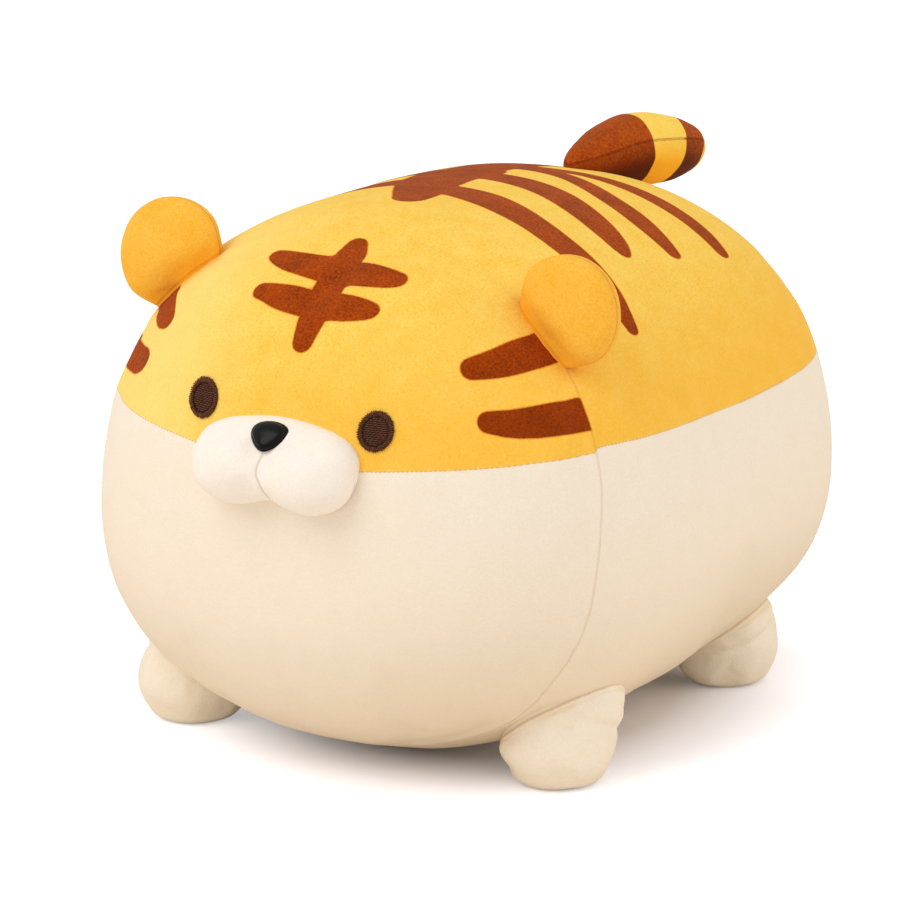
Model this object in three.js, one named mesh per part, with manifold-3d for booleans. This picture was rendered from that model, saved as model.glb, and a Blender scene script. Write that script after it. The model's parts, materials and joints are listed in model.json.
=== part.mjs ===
// Stuffed tiger toy that stands on four short feet.
// Millimetres, +Z up. The face looks along -Y and the toy's own left side is +X.
// The origin is on the floor, below the middle of the toy's overall length.
import * as THREE from 'three';
import { mergeVertices } from 'three/addons/utils/BufferGeometryUtils.js';
import Module from 'manifold-3d';

const wasm = await Module();
wasm.setup();

// Fabric and sewing
const fabricThickness = 3;        // short-pile plush, backing and pile together
const seamGap = 0.3;              // clearance between pieces that touch
const cutOverrun = 40;            // how far a cutting form runs past what it cuts

// Body, measured from its centre line
const bodyLength = 400;
const bodyWidth = 344;
const crownRise = 170;
const bellyDrop = 122.5;
const bellyClearance = 2.1;       // belly at mid-length above the floor; further forward it is lower
const frontFullness = 2.81;       // exponents of the rounded outlines: 2 is an ellipse
const rearFullness = 3.75;
const crownFullness = 2.34;
const bellyFullness = 2.18;
const narrowingShare = 0.066;     // of the half width, from the middle to the rump
const loweringShare = 0.083;      // of the half height, from the middle to the rump

// Ring seams, each a tilted plane: how far in from the body's end it crosses the centre line, and its lean
const facePanelDepth = 70.6;
const faceSeamLean = 0.139;       // run along Y for each unit of height
const rumpPanelDepth = 30;
const rumpSeamLean = -0.1;

// Eyes, embroidered
const eyeSpacing = 110;
const eyeRise = 85.5;             // centre above the body's centre line
const eyeWidth = 21.5;
const eyeHeight = 22.5;
const eyeRimWidth = 3.2;
const threadRise = 1.2;           // filled middle above the fabric
const rimRise = 1.9;              // satin rim above the fabric

// Muzzle: a wide dome over two cheeks and the bridge between them, all run together
const muzzleRise = 60;            // middle above the body's centre line
const muzzleSeatDepth = 8;        // middle behind the body's front end
const domeHalfWidth = 46;
const domeHalfDepth = 19;
const domeHalfHeight = 18;
const domeForward = 4;            // dome's centre in front of the muzzle's middle
const domeLift = 8.5;
const bridgeHalfWidth = 22;
const bridgeHalfDepth = 22;
const bridgeHalfHeight = 16;
const bridgeForward = 4;
const bridgeDrop = 1;
const cheekRadius = 24;
const cheekHalfHeight = 20.5;
const cheekSpacing = 50;
const cheekForward = 10;
const cheekDrop = 1;
const blendSharpness = 9;         // exponent that runs the forms together

// Nose: a moulded dome on a ribbed shank, held by a lock washer behind the fabric
const noseWidth = 22;             // at half its height
const noseHeight = 19;
const noseThickness = 4.6;
const noseSeatDepth = 1.3;        // how far its back sinks into the muzzle
const noseTilt = 42;              // degrees above level that it faces
const noseTaperShare = 0.34;      // narrowing of its outline towards the tip
const noseRingShares = [1, 1, 0.9, 0.66, 0.34];             // of its width, from its back outwards
const noseRingHeightShares = [0, 0.35, 0.66, 0.88, 0.98];   // of its thickness
const shankRootShare = 0.33;      // of its thickness, where the shank ends inside it
const shankDiameter = 4.6;
const shankLength = 15;
const shankRibHeight = 0.35;
const shankRibPitch = 1.8;
const shankRibShare = 0.7;        // of the pitch, along the rib's slope
const washerDiameter = 13;
const washerThickness = 1.2;
const washerToothCount = 6;
const washerToothCorners = 4;     // corners for each tooth and the gap beside it
const washerToothLength = 1.1;
const washerSeatDepth = 6.6;      // its face below the muzzle's outer surface

// Ears: round pillows sewn into the face seam
const earDiameter = 65;
const earThickness = 26;
const earRise = 17.5;             // disc centre beyond the seam
const earSeamAngle = 48.3;        // degrees up the face seam from the toy's side
const earBaseAngle = 3;           // degrees either side of it that give the seam's direction
const earFullness = 2.2;
const earForwardFold = 30;        // degrees
const earBackwardFold = 20;

// Feet: short stuffed stubs that widen upwards and splay out from below the body
const frontFootInset = 54;        // sole's middle in from the body's side
const rearFootInset = 68;         // the rear feet stand closer together
const frontFootSetback = 97;      // sole's middle in from the body's end
const rearFootSetback = 91;
const footWidth = 62;
const footLength = 63;
const footTopWidth = 76;
const footTopLength = 80;
const footHeight = 80;            // runs up inside the body's outline before it is cut
const footSplay = 13;             // top nearer the toy's middle line than the sole
const footRake = 21;              // top nearer the toy's middle, fore and aft, than the sole
const soleRoundHeight = 22;
const soleFlatShare = 0.58;       // flat of the sole, of the foot's width
const soleCutDepth = 0.5;

// Tail: a pointed egg lying back on the rump
const tailLength = 119;
const tailDiameter = 42.6;
const tailRootInset = 91.6;       // root tip in from the body's rear end
const tailRootLift = 6;           // root tip above the body's surface
const tailDroop = 8.5;            // degrees below level
const tailSwing = 8;              // degrees it lies over to the toy's left
const tailWidestShare = 0.59;
const tailRootPoint = 0.8;        // exponent of its taper at the root
const tailEndInsetShare = 1.5;    // lining's end behind the pointed end, of its own inset
const tailSeamAngle = 25;         // degrees above its sides
const tailHingeInset = 6;         // hinge line behind the root tip
const tailLiftRange = 50;         // degrees

// Facets
const bodyRingCount = 24;
const bodySideCount = 40;
const liningRingCount = 14;
const liningSideCount = 24;
const smallRingCount = 10;
const smallSideCount = 20;
const smallLiningRingCount = 6;
const smallLiningSideCount = 12;
const muzzleRingCount = 15;
const muzzleSideCount = 32;
const muzzleLiningRingCount = 11;
const muzzleLiningSideCount = 20;
const nosePlasticSideCount = 12;
const footRingCount = 8;
const footLiningRingCount = 6;
const footLiningSideCount = 12;
const tailRingCount = 12;
const tailLiningRingCount = 8;
const reachStopCount = 5;         // stops over a joint's range where the body is cut away
const seamPassCount = 8;          // passes that settle a point on the leaning seam
const finePerRing = 40;           // samples for each ring that is laid out evenly
const leastFacet = 0.06;          // finer slivers that cuts leave are smoothed away

const centreHeight = bellyDrop + bellyClearance;
const faceSeamY = facePanelDepth - bodyLength / 2;
const rumpSeamY = bodyLength / 2 - rumpPanelDepth;
const tailRootY = bodyLength / 2 - tailRootInset;
const bigSize = bodyLength + bodyWidth;

const plushYellow = new THREE.MeshStandardMaterial({ color: 0xfdcb55, roughness: 0.95, metalness: 0 });
const plushCream = new THREE.MeshStandardMaterial({ color: 0xf0dfc4, roughness: 0.95, metalness: 0 });
const plushWhite = new THREE.MeshStandardMaterial({ color: 0xfbf2e8, roughness: 0.95, metalness: 0 });
const plushBrown = new THREE.MeshStandardMaterial({ color: 0x99400f, roughness: 0.95, metalness: 0 });
const thread = new THREE.MeshStandardMaterial({ color: 0x4a2c1c, roughness: 0.6, metalness: 0 });
const glossBlack = new THREE.MeshStandardMaterial({ color: 0x1c1c1b, roughness: 0.2, metalness: 0 });
const clearPlastic = new THREE.MeshStandardMaterial({ color: 0xdadad4, roughness: 0.4, metalness: 0 });
const fibre = new THREE.MeshStandardMaterial({ color: 0xf4f4f2, roughness: 1, metalness: 0 });

const degrees = THREE.MathUtils.degToRad;

// A closed body from rings of points and one pole beyond each end ring
function solidFromRings(rings, startPole, endPole) {
  const points = [startPole, ...rings.flat(), endPole];
  const sides = rings[0].length;
  const last = points.length - 1;
  const index = [];
  for (let side = 0; side < sides; side += 1) {
    const next = (side + 1) % sides;
    index.push(0, 1 + next, 1 + side);
    for (let ring = 0; ring < rings.length - 1; ring += 1) {
      const low = 1 + ring * sides;
      const high = low + sides;
      index.push(low + side, low + next, high + next);
      index.push(low + side, high + next, high + side);
    }
    const top = last - sides;
    index.push(top + side, top + next, last);
  }
  const geometry = new THREE.BufferGeometry().setFromPoints(points);
  geometry.setIndex(index);
  return signedVolume(geometry) < 0 ? flipped(geometry) : geometry;
}

function signedVolume(geometry) {
  const position = geometry.getAttribute('position');
  const index = geometry.getIndex();
  const corner = [0, 1, 2].map(() => new THREE.Vector3());
  let volume = 0;
  for (let face = 0; face < index.count; face += 3) {
    corner.forEach((point, step) => point.fromBufferAttribute(position, index.getX(face + step)));
    volume += corner[0].dot(corner[1].clone().cross(corner[2])) / 6;
  }
  return volume;
}

function flipped(geometry) {
  const order = Array.from(geometry.getIndex().array);
  for (let face = 0; face < order.length; face += 3) {
    [order[face + 1], order[face + 2]] = [order[face + 2], order[face + 1]];
  }
  return geometry.clone().setIndex(order);
}

function mirrored(geometry) {
  return flipped(geometry.clone().applyMatrix4(new THREE.Matrix4().makeScale(-1, 1, 1)));
}

// A solid for joining and cutting, from any closed geometry
function solid(geometry) {
  const bare = geometry.clone();
  bare.deleteAttribute('normal');
  bare.deleteAttribute('uv');
  const merged = mergeVertices(bare);
  const mesh = new wasm.Mesh({
    numProp: 3,
    vertProperties: new Float32Array(merged.getAttribute('position').array),
    triVerts: new Uint32Array(merged.getIndex().array),
  });
  return new wasm.Manifold(mesh);
}

// Where two cuts meet they can leave a crumb, so only the largest body of a cut piece is kept
function largest(body) {
  const bodies = body.decompose().sort((one, other) => other.volume() - one.volume());
  return bodies[0];
}

function bareGeometry(body) {
  const mesh = body.getMesh();
  const geometry = new THREE.BufferGeometry();
  geometry.setAttribute('position', new THREE.BufferAttribute(new Float32Array(mesh.vertProperties), 3));
  geometry.setIndex(Array.from(mesh.triVerts));
  return geometry;
}

function geometryOf(body) {
  const rounded = solid(bareGeometry(largest(body.simplify(leastFacet))));
  return bareGeometry(largest(rounded));
}

// Shares from 0 to 1 that lie evenly along a curve, without its two ends
function evenShares(count, curve) {
  const fine = finePerRing * count;
  const lengths = [0];
  for (let step = 1; step <= fine; step += 1) {
    const stretch = curve(step / fine).distanceTo(curve((step - 1) / fine));
    lengths.push(lengths[step - 1] + stretch);
  }
  const shares = [];
  for (let ring = 1; ring <= count; ring += 1) {
    const wanted = lengths[fine] * ring / (count + 1);
    shares.push(lengths.findIndex((length) => length >= wanted) / fine);
  }
  return shares;
}

// Body: a rounded barrel, taller above its centre line than below it
function girthShare(along) {
  const fullness = along < 0 ? frontFullness : rearFullness;
  return Math.max(0, 1 - Math.abs(along) ** fullness) ** (1 / fullness);
}

function bodyPoint(along, angle, inset) {
  const across = Math.cos(angle);
  const rise = Math.sin(angle);
  const fullness = rise > 0 ? crownFullness : bellyFullness;
  const reach = (Math.abs(across) ** fullness + Math.abs(rise) ** fullness) ** (-1 / fullness);
  const halfWidth = (bodyWidth / 2 - inset) * (1 - narrowingShare * along);
  const halfHeight = ((rise > 0 ? crownRise : bellyDrop) - inset) * (1 - loweringShare * along);
  const girth = girthShare(along) * reach;
  return new THREE.Vector3(
    halfWidth * girth * across,
    (bodyLength / 2 - inset) * along,
    centreHeight + halfHeight * girth * rise,
  );
}

function turns(count) {
  return Array.from({ length: count }, (_, step) => 2 * Math.PI * step / count);
}

function bodyForm(inset, ringCount = bodyRingCount, sideCount = bodySideCount) {
  const meridian = (share) => {
    const along = Math.sin(Math.PI * (share - 1 / 2));
    return new THREE.Vector2(along * bodyLength / 2, girthShare(along) * crownRise);
  };
  const stations = evenShares(ringCount, meridian).map((share) => Math.sin(Math.PI * (share - 1 / 2)));
  const rings = stations.map((along) => turns(sideCount).map((angle) => bodyPoint(along, angle, inset)));
  return solidFromRings(rings, bodyPoint(-1, 0, inset), bodyPoint(1, 0, inset));
}

// Everything in front of a tilted ring seam
function beforeSeam(seamY, lean, offset = 0) {
  const cutter = new THREE.BoxGeometry(bigSize, bigSize, bigSize);
  cutter.translate(0, offset - bigSize / 2, 0);
  cutter.rotateX(-Math.atan(lean));
  cutter.translate(0, seamY, centreHeight);
  return solid(cutter);
}

// The point where the face seam crosses the body's surface, at an angle round the body
function faceSeamPoint(angle) {
  let along = faceSeamY / (bodyLength / 2);
  let point = bodyPoint(along, angle, 0);
  for (let pass = 0; pass < seamPassCount; pass += 1) {
    along = (faceSeamY + faceSeamLean * (point.z - centreHeight)) / (bodyLength / 2);
    point = bodyPoint(along, angle, 0);
  }
  return point;
}

function buildBody() {
  const lining = solid(bodyForm(fabricThickness, liningRingCount, liningSideCount));
  const skin = solid(bodyForm(0)).subtract(lining);
  const beforeFace = beforeSeam(faceSeamY, faceSeamLean);
  const beforeRump = beforeSeam(rumpSeamY, rumpSeamLean);
  const bellySeam = new THREE.BoxGeometry(seamGap, bigSize, bellyDrop + cutOverrun);
  bellySeam.translate(0, 0, centreHeight - (bellyDrop + cutOverrun) / 2);
  const face = skin.intersect(beforeFace);
  const middle = skin.subtract(beforeSeam(faceSeamY, faceSeamLean, seamGap)).intersect(beforeRump);
  const rump = skin.subtract(beforeSeam(rumpSeamY, rumpSeamLean, seamGap));
  const filling = bodyForm(fabricThickness + seamGap, liningRingCount, liningSideCount);
  return [
    piece('face_panel', geometryOf(face), plushYellow),
    piece('body_panel', geometryOf(middle.subtract(solid(bellySeam))), plushYellow),
    piece('rump_panel', geometryOf(rump), plushYellow),
    piece('body_filling', filling, fibre),
  ];
}

function piece(name, geometry, material) {
  const mesh = new THREE.Mesh(geometry, material);
  mesh.name = name;
  return mesh;
}

// Each piece in its own group, with the group's origin at the point it hangs or turns on
function hungAt(pivot, pieces) {
  const group = new THREE.Group();
  group.position.copy(pivot);
  for (const mesh of pieces) {
    mesh.geometry.translate(-pivot.x, -pivot.y, -pivot.z);
    group.add(mesh);
  }
  return group;
}

// Eyes: a filled oval and a raised satin rim, lying on the face
function ovalPrism(width, height, place) {
  const oval = new THREE.Shape();
  oval.absellipse(0, 0, width / 2, height / 2, 0, 2 * Math.PI);
  const options = { depth: bodyLength / 2, bevelEnabled: false, curveSegments: nosePlasticSideCount };
  const prism = new THREE.ExtrudeGeometry(oval, options);
  prism.rotateX(Math.PI / 2);
  prism.translate(place.x, place.y, place.z);
  return solid(prism);
}

function buildEye() {
  const place = new THREE.Vector3(eyeSpacing / 2, 0, centreHeight + eyeRise);
  const under = solid(bodyForm(-seamGap));
  const outer = ovalPrism(eyeWidth, eyeHeight, place);
  const inner = ovalPrism(eyeWidth - 2 * eyeRimWidth, eyeHeight - 2 * eyeRimWidth, place);
  const rim = solid(bodyForm(-seamGap - rimRise)).subtract(under).intersect(outer).subtract(inner);
  const middle = solid(bodyForm(-seamGap - threadRise)).subtract(under).intersect(outer);
  return geometryOf(rim.add(middle));
}

// Muzzle: how far its surface lies from its middle, in any direction
function ovalReach(direction, centre, radii) {
  const scaled = direction.clone().divide(radii);
  const from = centre.clone().negate().divide(radii);
  const square = scaled.lengthSq();
  const cross = scaled.dot(from);
  const inside = cross * cross - square * (from.lengthSq() - 1);
  return inside < 0 ? 0 : Math.max(0, (Math.sqrt(inside) - cross) / square);
}

function muzzleReach(direction, inset) {
  const dome = new THREE.Vector3(domeHalfWidth, domeHalfDepth, domeHalfHeight).subScalar(inset);
  const bridge = new THREE.Vector3(bridgeHalfWidth, bridgeHalfDepth, bridgeHalfHeight).subScalar(inset);
  const cheek = new THREE.Vector3(cheekRadius, cheekRadius, cheekHalfHeight).subScalar(inset);
  const reaches = [
    ovalReach(direction, new THREE.Vector3(0, -domeForward, domeLift), dome),
    ovalReach(direction, new THREE.Vector3(0, -bridgeForward, -bridgeDrop), bridge),
  ];
  for (const side of [-1, 1]) {
    const centre = new THREE.Vector3(side * cheekSpacing / 2, -cheekForward, -cheekDrop);
    reaches.push(ovalReach(direction, centre, cheek));
  }
  const total = reaches.reduce((sum, reach) => sum + (reach / domeHalfWidth) ** blendSharpness, 0);
  return domeHalfWidth * total ** (1 / blendSharpness);
}

const muzzleMiddle = new THREE.Vector3(0, muzzleSeatDepth - bodyLength / 2, centreHeight + muzzleRise);

function muzzlePoint(polar, angle, inset) {
  const direction = new THREE.Vector3(
    Math.sin(polar) * Math.cos(angle),
    -Math.cos(polar),
    Math.sin(polar) * Math.sin(angle),
  );
  return direction.multiplyScalar(muzzleReach(direction, inset)).add(muzzleMiddle);
}

function muzzleForm(inset, ringCount, sideCount) {
  const rings = [];
  for (let ring = 1; ring <= ringCount; ring += 1) {
    const polar = Math.PI * ring / (ringCount + 1);
    rings.push(turns(sideCount).map((angle) => muzzlePoint(polar, angle, inset)));
  }
  return solidFromRings(rings, muzzlePoint(0, 0, inset), muzzlePoint(Math.PI, 0, inset));
}

// Nose, in its own frame: +Z points out of the face of the nose, +Y to its broad top
function noseRing(share, height, growth = 0) {
  return turns(smallSideCount).map((angle) => {
    const rise = Math.sin(angle);
    const halfWidth = (noseWidth / 2 * share + growth) * (1 + noseTaperShare * rise);
    const halfHeight = noseHeight / 2 * share + growth;
    return new THREE.Vector3(halfWidth * Math.cos(angle), halfHeight * rise, height);
  });
}

function noseDome() {
  const heights = noseRingHeightShares.map((share) => noseThickness * share);
  const rings = noseRingShares.map((share, ring) => noseRing(share, heights[ring]));
  return solidFromRings(rings, new THREE.Vector3(), new THREE.Vector3(0, 0, noseThickness));
}

function noseSocket() {
  const rings = [noseRing(1, -seamGap, seamGap), noseRing(1, noseThickness + cutOverrun, seamGap)];
  const top = new THREE.Vector3(0, 0, noseThickness + cutOverrun);
  return solidFromRings(rings, new THREE.Vector3(0, 0, -seamGap), top);
}

function ribbedShank() {
  const core = shankDiameter / 2;
  const profile = [
    new THREE.Vector2(0, -shankLength),
    new THREE.Vector2(core - shankRibHeight, -shankLength),
  ];
  const ribCount = Math.floor((shankLength - washerSeatDepth) / shankRibPitch);
  for (let rib = 0; rib < ribCount; rib += 1) {
    const foot = -shankLength + rib * shankRibPitch;
    profile.push(new THREE.Vector2(core + shankRibHeight, foot + shankRibPitch * shankRibShare));
    profile.push(new THREE.Vector2(core, foot + shankRibPitch));
  }
  profile.push(new THREE.Vector2(core, noseThickness * shankRootShare));
  profile.push(new THREE.Vector2(0, noseThickness * shankRootShare));
  const shank = new THREE.LatheGeometry(profile, nosePlasticSideCount);
  return shank.rotateX(Math.PI / 2);
}

function lockWasher() {
  const hole = shankDiameter / 2 + shankRibHeight + seamGap;
  const disc = new THREE.Shape();
  disc.absarc(0, 0, washerDiameter / 2, 0, 2 * Math.PI);
  const toothed = new THREE.Path();
  const corners = turns(washerToothCorners * washerToothCount);
  corners.forEach((angle, step) => {
    const reach = step % washerToothCorners < washerToothCorners / 2 ? hole : hole + washerToothLength;
    const corner = [reach * Math.cos(angle), reach * Math.sin(angle)];
    if (step === 0) toothed.moveTo(...corner);
    else toothed.lineTo(...corner);
  });
  toothed.closePath();
  disc.holes.push(toothed);
  const options = { depth: washerThickness, bevelEnabled: false, curveSegments: nosePlasticSideCount };
  const washer = new THREE.ExtrudeGeometry(disc, options);
  return washer.translate(0, 0, -washerSeatDepth + noseSeatDepth - washerThickness);
}

function nosePlacement() {
  const facing = new THREE.Vector3(0, -Math.cos(degrees(noseTilt)), Math.sin(degrees(noseTilt)));
  const seat = facing.clone().multiplyScalar(muzzleReach(facing, 0) - noseSeatDepth).add(muzzleMiddle);
  const across = new THREE.Vector3(1, 0, 0);
  const upward = facing.clone().cross(across);
  return new THREE.Matrix4().makeBasis(across, upward, facing).setPosition(seat);
}

function buildMuzzle() {
  const place = nosePlacement();
  const behind = solid(bodyForm(-seamGap));
  const shankRadius = shankDiameter / 2 + shankRibHeight + seamGap;
  const shankReach = 2 * (shankLength + seamGap);
  const shankWay = new THREE.CylinderGeometry(shankRadius, shankRadius, shankReach, nosePlasticSideCount);
  shankWay.rotateX(Math.PI / 2);
  const washerRadius = washerDiameter / 2 + seamGap;
  const washerSlot = washerThickness + 2 * seamGap;
  const washerWay = new THREE.CylinderGeometry(washerRadius, washerRadius, washerSlot, smallSideCount);
  washerWay.rotateX(Math.PI / 2);
  washerWay.translate(0, 0, -washerSeatDepth + noseSeatDepth - washerThickness / 2);
  const way = solid(shankWay.applyMatrix4(place));
  const lining = solid(muzzleForm(fabricThickness, muzzleLiningRingCount, muzzleLiningSideCount));
  const outer = solid(muzzleForm(0, muzzleRingCount, muzzleSideCount));
  const socket = solid(noseSocket().applyMatrix4(place));
  const cover = outer.subtract(behind).subtract(lining).subtract(way).subtract(socket);
  const stuffing = solid(muzzleForm(fabricThickness + seamGap, muzzleLiningRingCount, muzzleLiningSideCount));
  const filling = stuffing.subtract(behind).subtract(way).subtract(solid(washerWay.applyMatrix4(place)));
  const nose = solid(noseDome().applyMatrix4(place)).add(solid(ribbedShank().applyMatrix4(place)));
  return [
    piece('muzzle_cover', geometryOf(cover), plushWhite),
    piece('muzzle_filling', geometryOf(filling), fibre),
    piece('nose', geometryOf(nose), glossBlack),
    piece('nose_lock_washer', lockWasher().applyMatrix4(place), clearPlastic),
  ];
}

// Ear, in its own frame: origin on the seam, X along the seam, Y outwards, Z out of its front
function earFrame() {
  const angle = degrees(earSeamAngle);
  const step = degrees(earBaseAngle);
  const base = faceSeamPoint(angle);
  const along = faceSeamPoint(angle - step).sub(faceSeamPoint(angle + step)).normalize();
  const front = new THREE.Vector3(0, -1, faceSeamLean).normalize();
  const outward = front.clone().cross(along).normalize();
  return { base, along, matrix: new THREE.Matrix4().makeBasis(along, outward, front).setPosition(base) };
}

function earForm(inset, ringCount, sideCount) {
  const radius = earDiameter / 2 - inset;
  const depth = earThickness / 2 - inset;
  const rings = [];
  for (let ring = 1; ring <= ringCount; ring += 1) {
    const polar = Math.PI * ring / (ringCount + 1);
    const out = radius * Math.sin(polar) ** (2 / earFullness);
    const height = depth * Math.sign(Math.cos(polar)) * Math.abs(Math.cos(polar)) ** (2 / earFullness);
    rings.push(turns(sideCount).map((angle) => (
      new THREE.Vector3(out * Math.cos(angle), earRise + out * Math.sin(angle), height)
    )));
  }
  return solidFromRings(rings, new THREE.Vector3(0, earRise, depth), new THREE.Vector3(0, earRise, -depth));
}

// The body as a turning piece meets it, over the whole of its range
function bodyInReach(pivot, axis, low, high) {
  const body = bodyForm(-seamGap);
  let reach = solid(body);
  for (let stop = 0; stop <= reachStopCount; stop += 1) {
    const turn = degrees(low + (high - low) * stop / reachStopCount);
    const about = new THREE.Matrix4().makeTranslation(pivot)
      .multiply(new THREE.Matrix4().makeRotationAxis(axis, -turn))
      .multiply(new THREE.Matrix4().makeTranslation(pivot.clone().negate()));
    reach = reach.add(solid(body.clone().applyMatrix4(about)));
  }
  return reach;
}

function buildEar() {
  const { base, along, matrix } = earFrame();
  const clear = bodyInReach(base, along, -earBackwardFold, earForwardFold);
  const placed = (geometry) => solid(geometry.applyMatrix4(matrix)).subtract(clear);
  const outer = placed(earForm(0, smallRingCount, smallSideCount));
  const lining = placed(earForm(fabricThickness, smallLiningRingCount, smallLiningSideCount));
  const filling = placed(earForm(fabricThickness + seamGap, smallLiningRingCount, smallLiningSideCount));
  const skin = outer.subtract(lining);
  const half = new THREE.BoxGeometry(2 * earDiameter, 2 * earDiameter, earDiameter);
  const frontHalf = half.clone().translate(0, earRise, earDiameter / 2 + seamGap / 2);
  const backHalf = half.translate(0, earRise, -earDiameter / 2 - seamGap / 2);
  return {
    base,
    front: geometryOf(skin.intersect(solid(frontHalf.applyMatrix4(matrix)))),
    back: geometryOf(skin.intersect(solid(backHalf.applyMatrix4(matrix)))),
    filling: geometryOf(filling),
  };
}

// Foot, with its sole on the floor
function footForm(centre, inset, ringCount, sideCount) {
  const sole = inset > 0 ? inset : -soleCutDepth;
  const profile = (share) => {
    const height = sole + (footHeight - sole) * share;
    const low = Math.min(1, Math.max(0, (height + soleCutDepth) / soleRoundHeight));
    const bulge = soleFlatShare + (1 - soleFlatShare) * Math.sqrt(1 - (1 - low) ** 2);
    const flare = THREE.MathUtils.smoothstep(height, soleRoundHeight / 2, footHeight);
    return {
      height,
      flare,
      halfWidth: footWidth / 2 * bulge + (footTopWidth - footWidth) / 2 * flare - inset,
      halfLength: footLength / 2 * bulge + (footTopLength - footLength) / 2 * flare - inset,
    };
  };
  const middle = ({ height, flare }) => new THREE.Vector3(
    centre.x - footSplay * flare,
    centre.y - Math.sign(centre.y) * footRake * flare,
    height,
  );
  const ring = (share) => {
    const { halfWidth, halfLength, ...level } = profile(share);
    return turns(sideCount).map((angle) => (
      new THREE.Vector3(halfWidth * Math.cos(angle), halfLength * Math.sin(angle), 0).add(middle(level))
    ));
  };
  const outline = (share) => new THREE.Vector2(profile(share).halfWidth, profile(share).height);
  const shares = [0, ...evenShares(ringCount, outline), 1];
  return solidFromRings(shares.map(ring), middle(profile(0)), middle(profile(1)));
}

function buildFoot(centre) {
  const above = solid(bodyForm(-seamGap));
  const floor = new THREE.BoxGeometry(bigSize, bigSize, cutOverrun).translate(0, 0, -cutOverrun / 2);
  const outer = solid(footForm(centre, 0, footRingCount, smallSideCount));
  const inner = (inset) => solid(footForm(centre, inset, footLiningRingCount, footLiningSideCount));
  const hollow = inner(fabricThickness);
  const stuffing = inner(fabricThickness + seamGap);
  return {
    cover: geometryOf(outer.subtract(hollow).subtract(above).subtract(solid(floor))),
    filling: geometryOf(stuffing.subtract(above)),
  };
}

// Tail, in its own frame: origin at the root tip, Y along it, Z up
function tailRadius(share) {
  const tipPoint = tailRootPoint * (1 - tailWidestShare) / tailWidestShare;
  const girth = (at) => at ** tailRootPoint * (1 - at) ** tipPoint;
  return tailDiameter / 2 * girth(share) / girth(tailWidestShare);
}

function tailForm(inset, ringCount, sideCount) {
  const start = tailEndInsetShare * inset;
  const shorter = 1 - 2 * start / tailLength;
  const slimmer = 1 - 2 * inset / tailDiameter;
  const outline = (share) => new THREE.Vector2(tailRadius(share), tailLength * share);
  const ring = (share) => turns(sideCount).map((angle) => new THREE.Vector3(
    slimmer * tailRadius(share) * Math.cos(angle),
    start + shorter * tailLength * share,
    slimmer * tailRadius(share) * Math.sin(angle),
  ));
  const rings = evenShares(ringCount, outline).map(ring);
  return solidFromRings(rings, new THREE.Vector3(0, start, 0), new THREE.Vector3(0, tailLength - start, 0));
}

function tailWedge(drop) {
  const reach = tailDiameter + cutOverrun;
  const across = reach * Math.cos(degrees(tailSeamAngle));
  const rise = reach * Math.sin(degrees(tailSeamAngle));
  const corners = [[0, 0], [across, rise], [0, reach], [-across, rise]];
  const section = new THREE.Shape(corners.map(([x, y]) => new THREE.Vector2(x, y - drop)));
  const options = { depth: tailLength + 2 * cutOverrun, bevelEnabled: false };
  const wedge = new THREE.ExtrudeGeometry(section, options);
  return wedge.rotateX(Math.PI / 2).translate(0, tailLength + cutOverrun, 0);
}

function surfaceHeightAt(y) {
  return bodyPoint(y / (bodyLength / 2), Math.PI / 2, 0).z;
}

function tailPlacement() {
  const root = new THREE.Vector3(0, tailRootY, surfaceHeightAt(tailRootY) + tailRootLift);
  const swing = new THREE.Matrix4().makeRotationZ(-degrees(tailSwing));
  const droop = new THREE.Matrix4().makeRotationX(-degrees(tailDroop));
  const matrix = swing.clone().multiply(droop).setPosition(root);
  const axis = new THREE.Vector3(1, 0, 0).applyMatrix4(swing);
  const hingeY = tailRootY + tailHingeInset;
  return { matrix, axis, hinge: new THREE.Vector3(0, hingeY, surfaceHeightAt(hingeY)) };
}

function buildTail() {
  const { matrix, axis, hinge } = tailPlacement();
  const clear = bodyInReach(hinge, axis, 0, tailLiftRange);
  const placed = (geometry) => solid(geometry.applyMatrix4(matrix));
  const outer = placed(tailForm(0, tailRingCount, smallSideCount));
  const lining = placed(tailForm(fabricThickness, tailLiningRingCount, smallLiningSideCount));
  const inset = fabricThickness + seamGap;
  const stuffing = placed(tailForm(inset, tailLiningRingCount, smallLiningSideCount));
  const skin = outer.subtract(lining).subtract(clear);
  return hungAt(hinge, [
    piece('tail_upper_cover', geometryOf(skin.intersect(placed(tailWedge(0)))), plushBrown),
    piece('tail_lower_cover', geometryOf(skin.subtract(placed(tailWedge(seamGap)))), plushBrown),
    piece('tail_filling', geometryOf(stuffing.subtract(clear)), fibre),
  ]);
}

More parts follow.
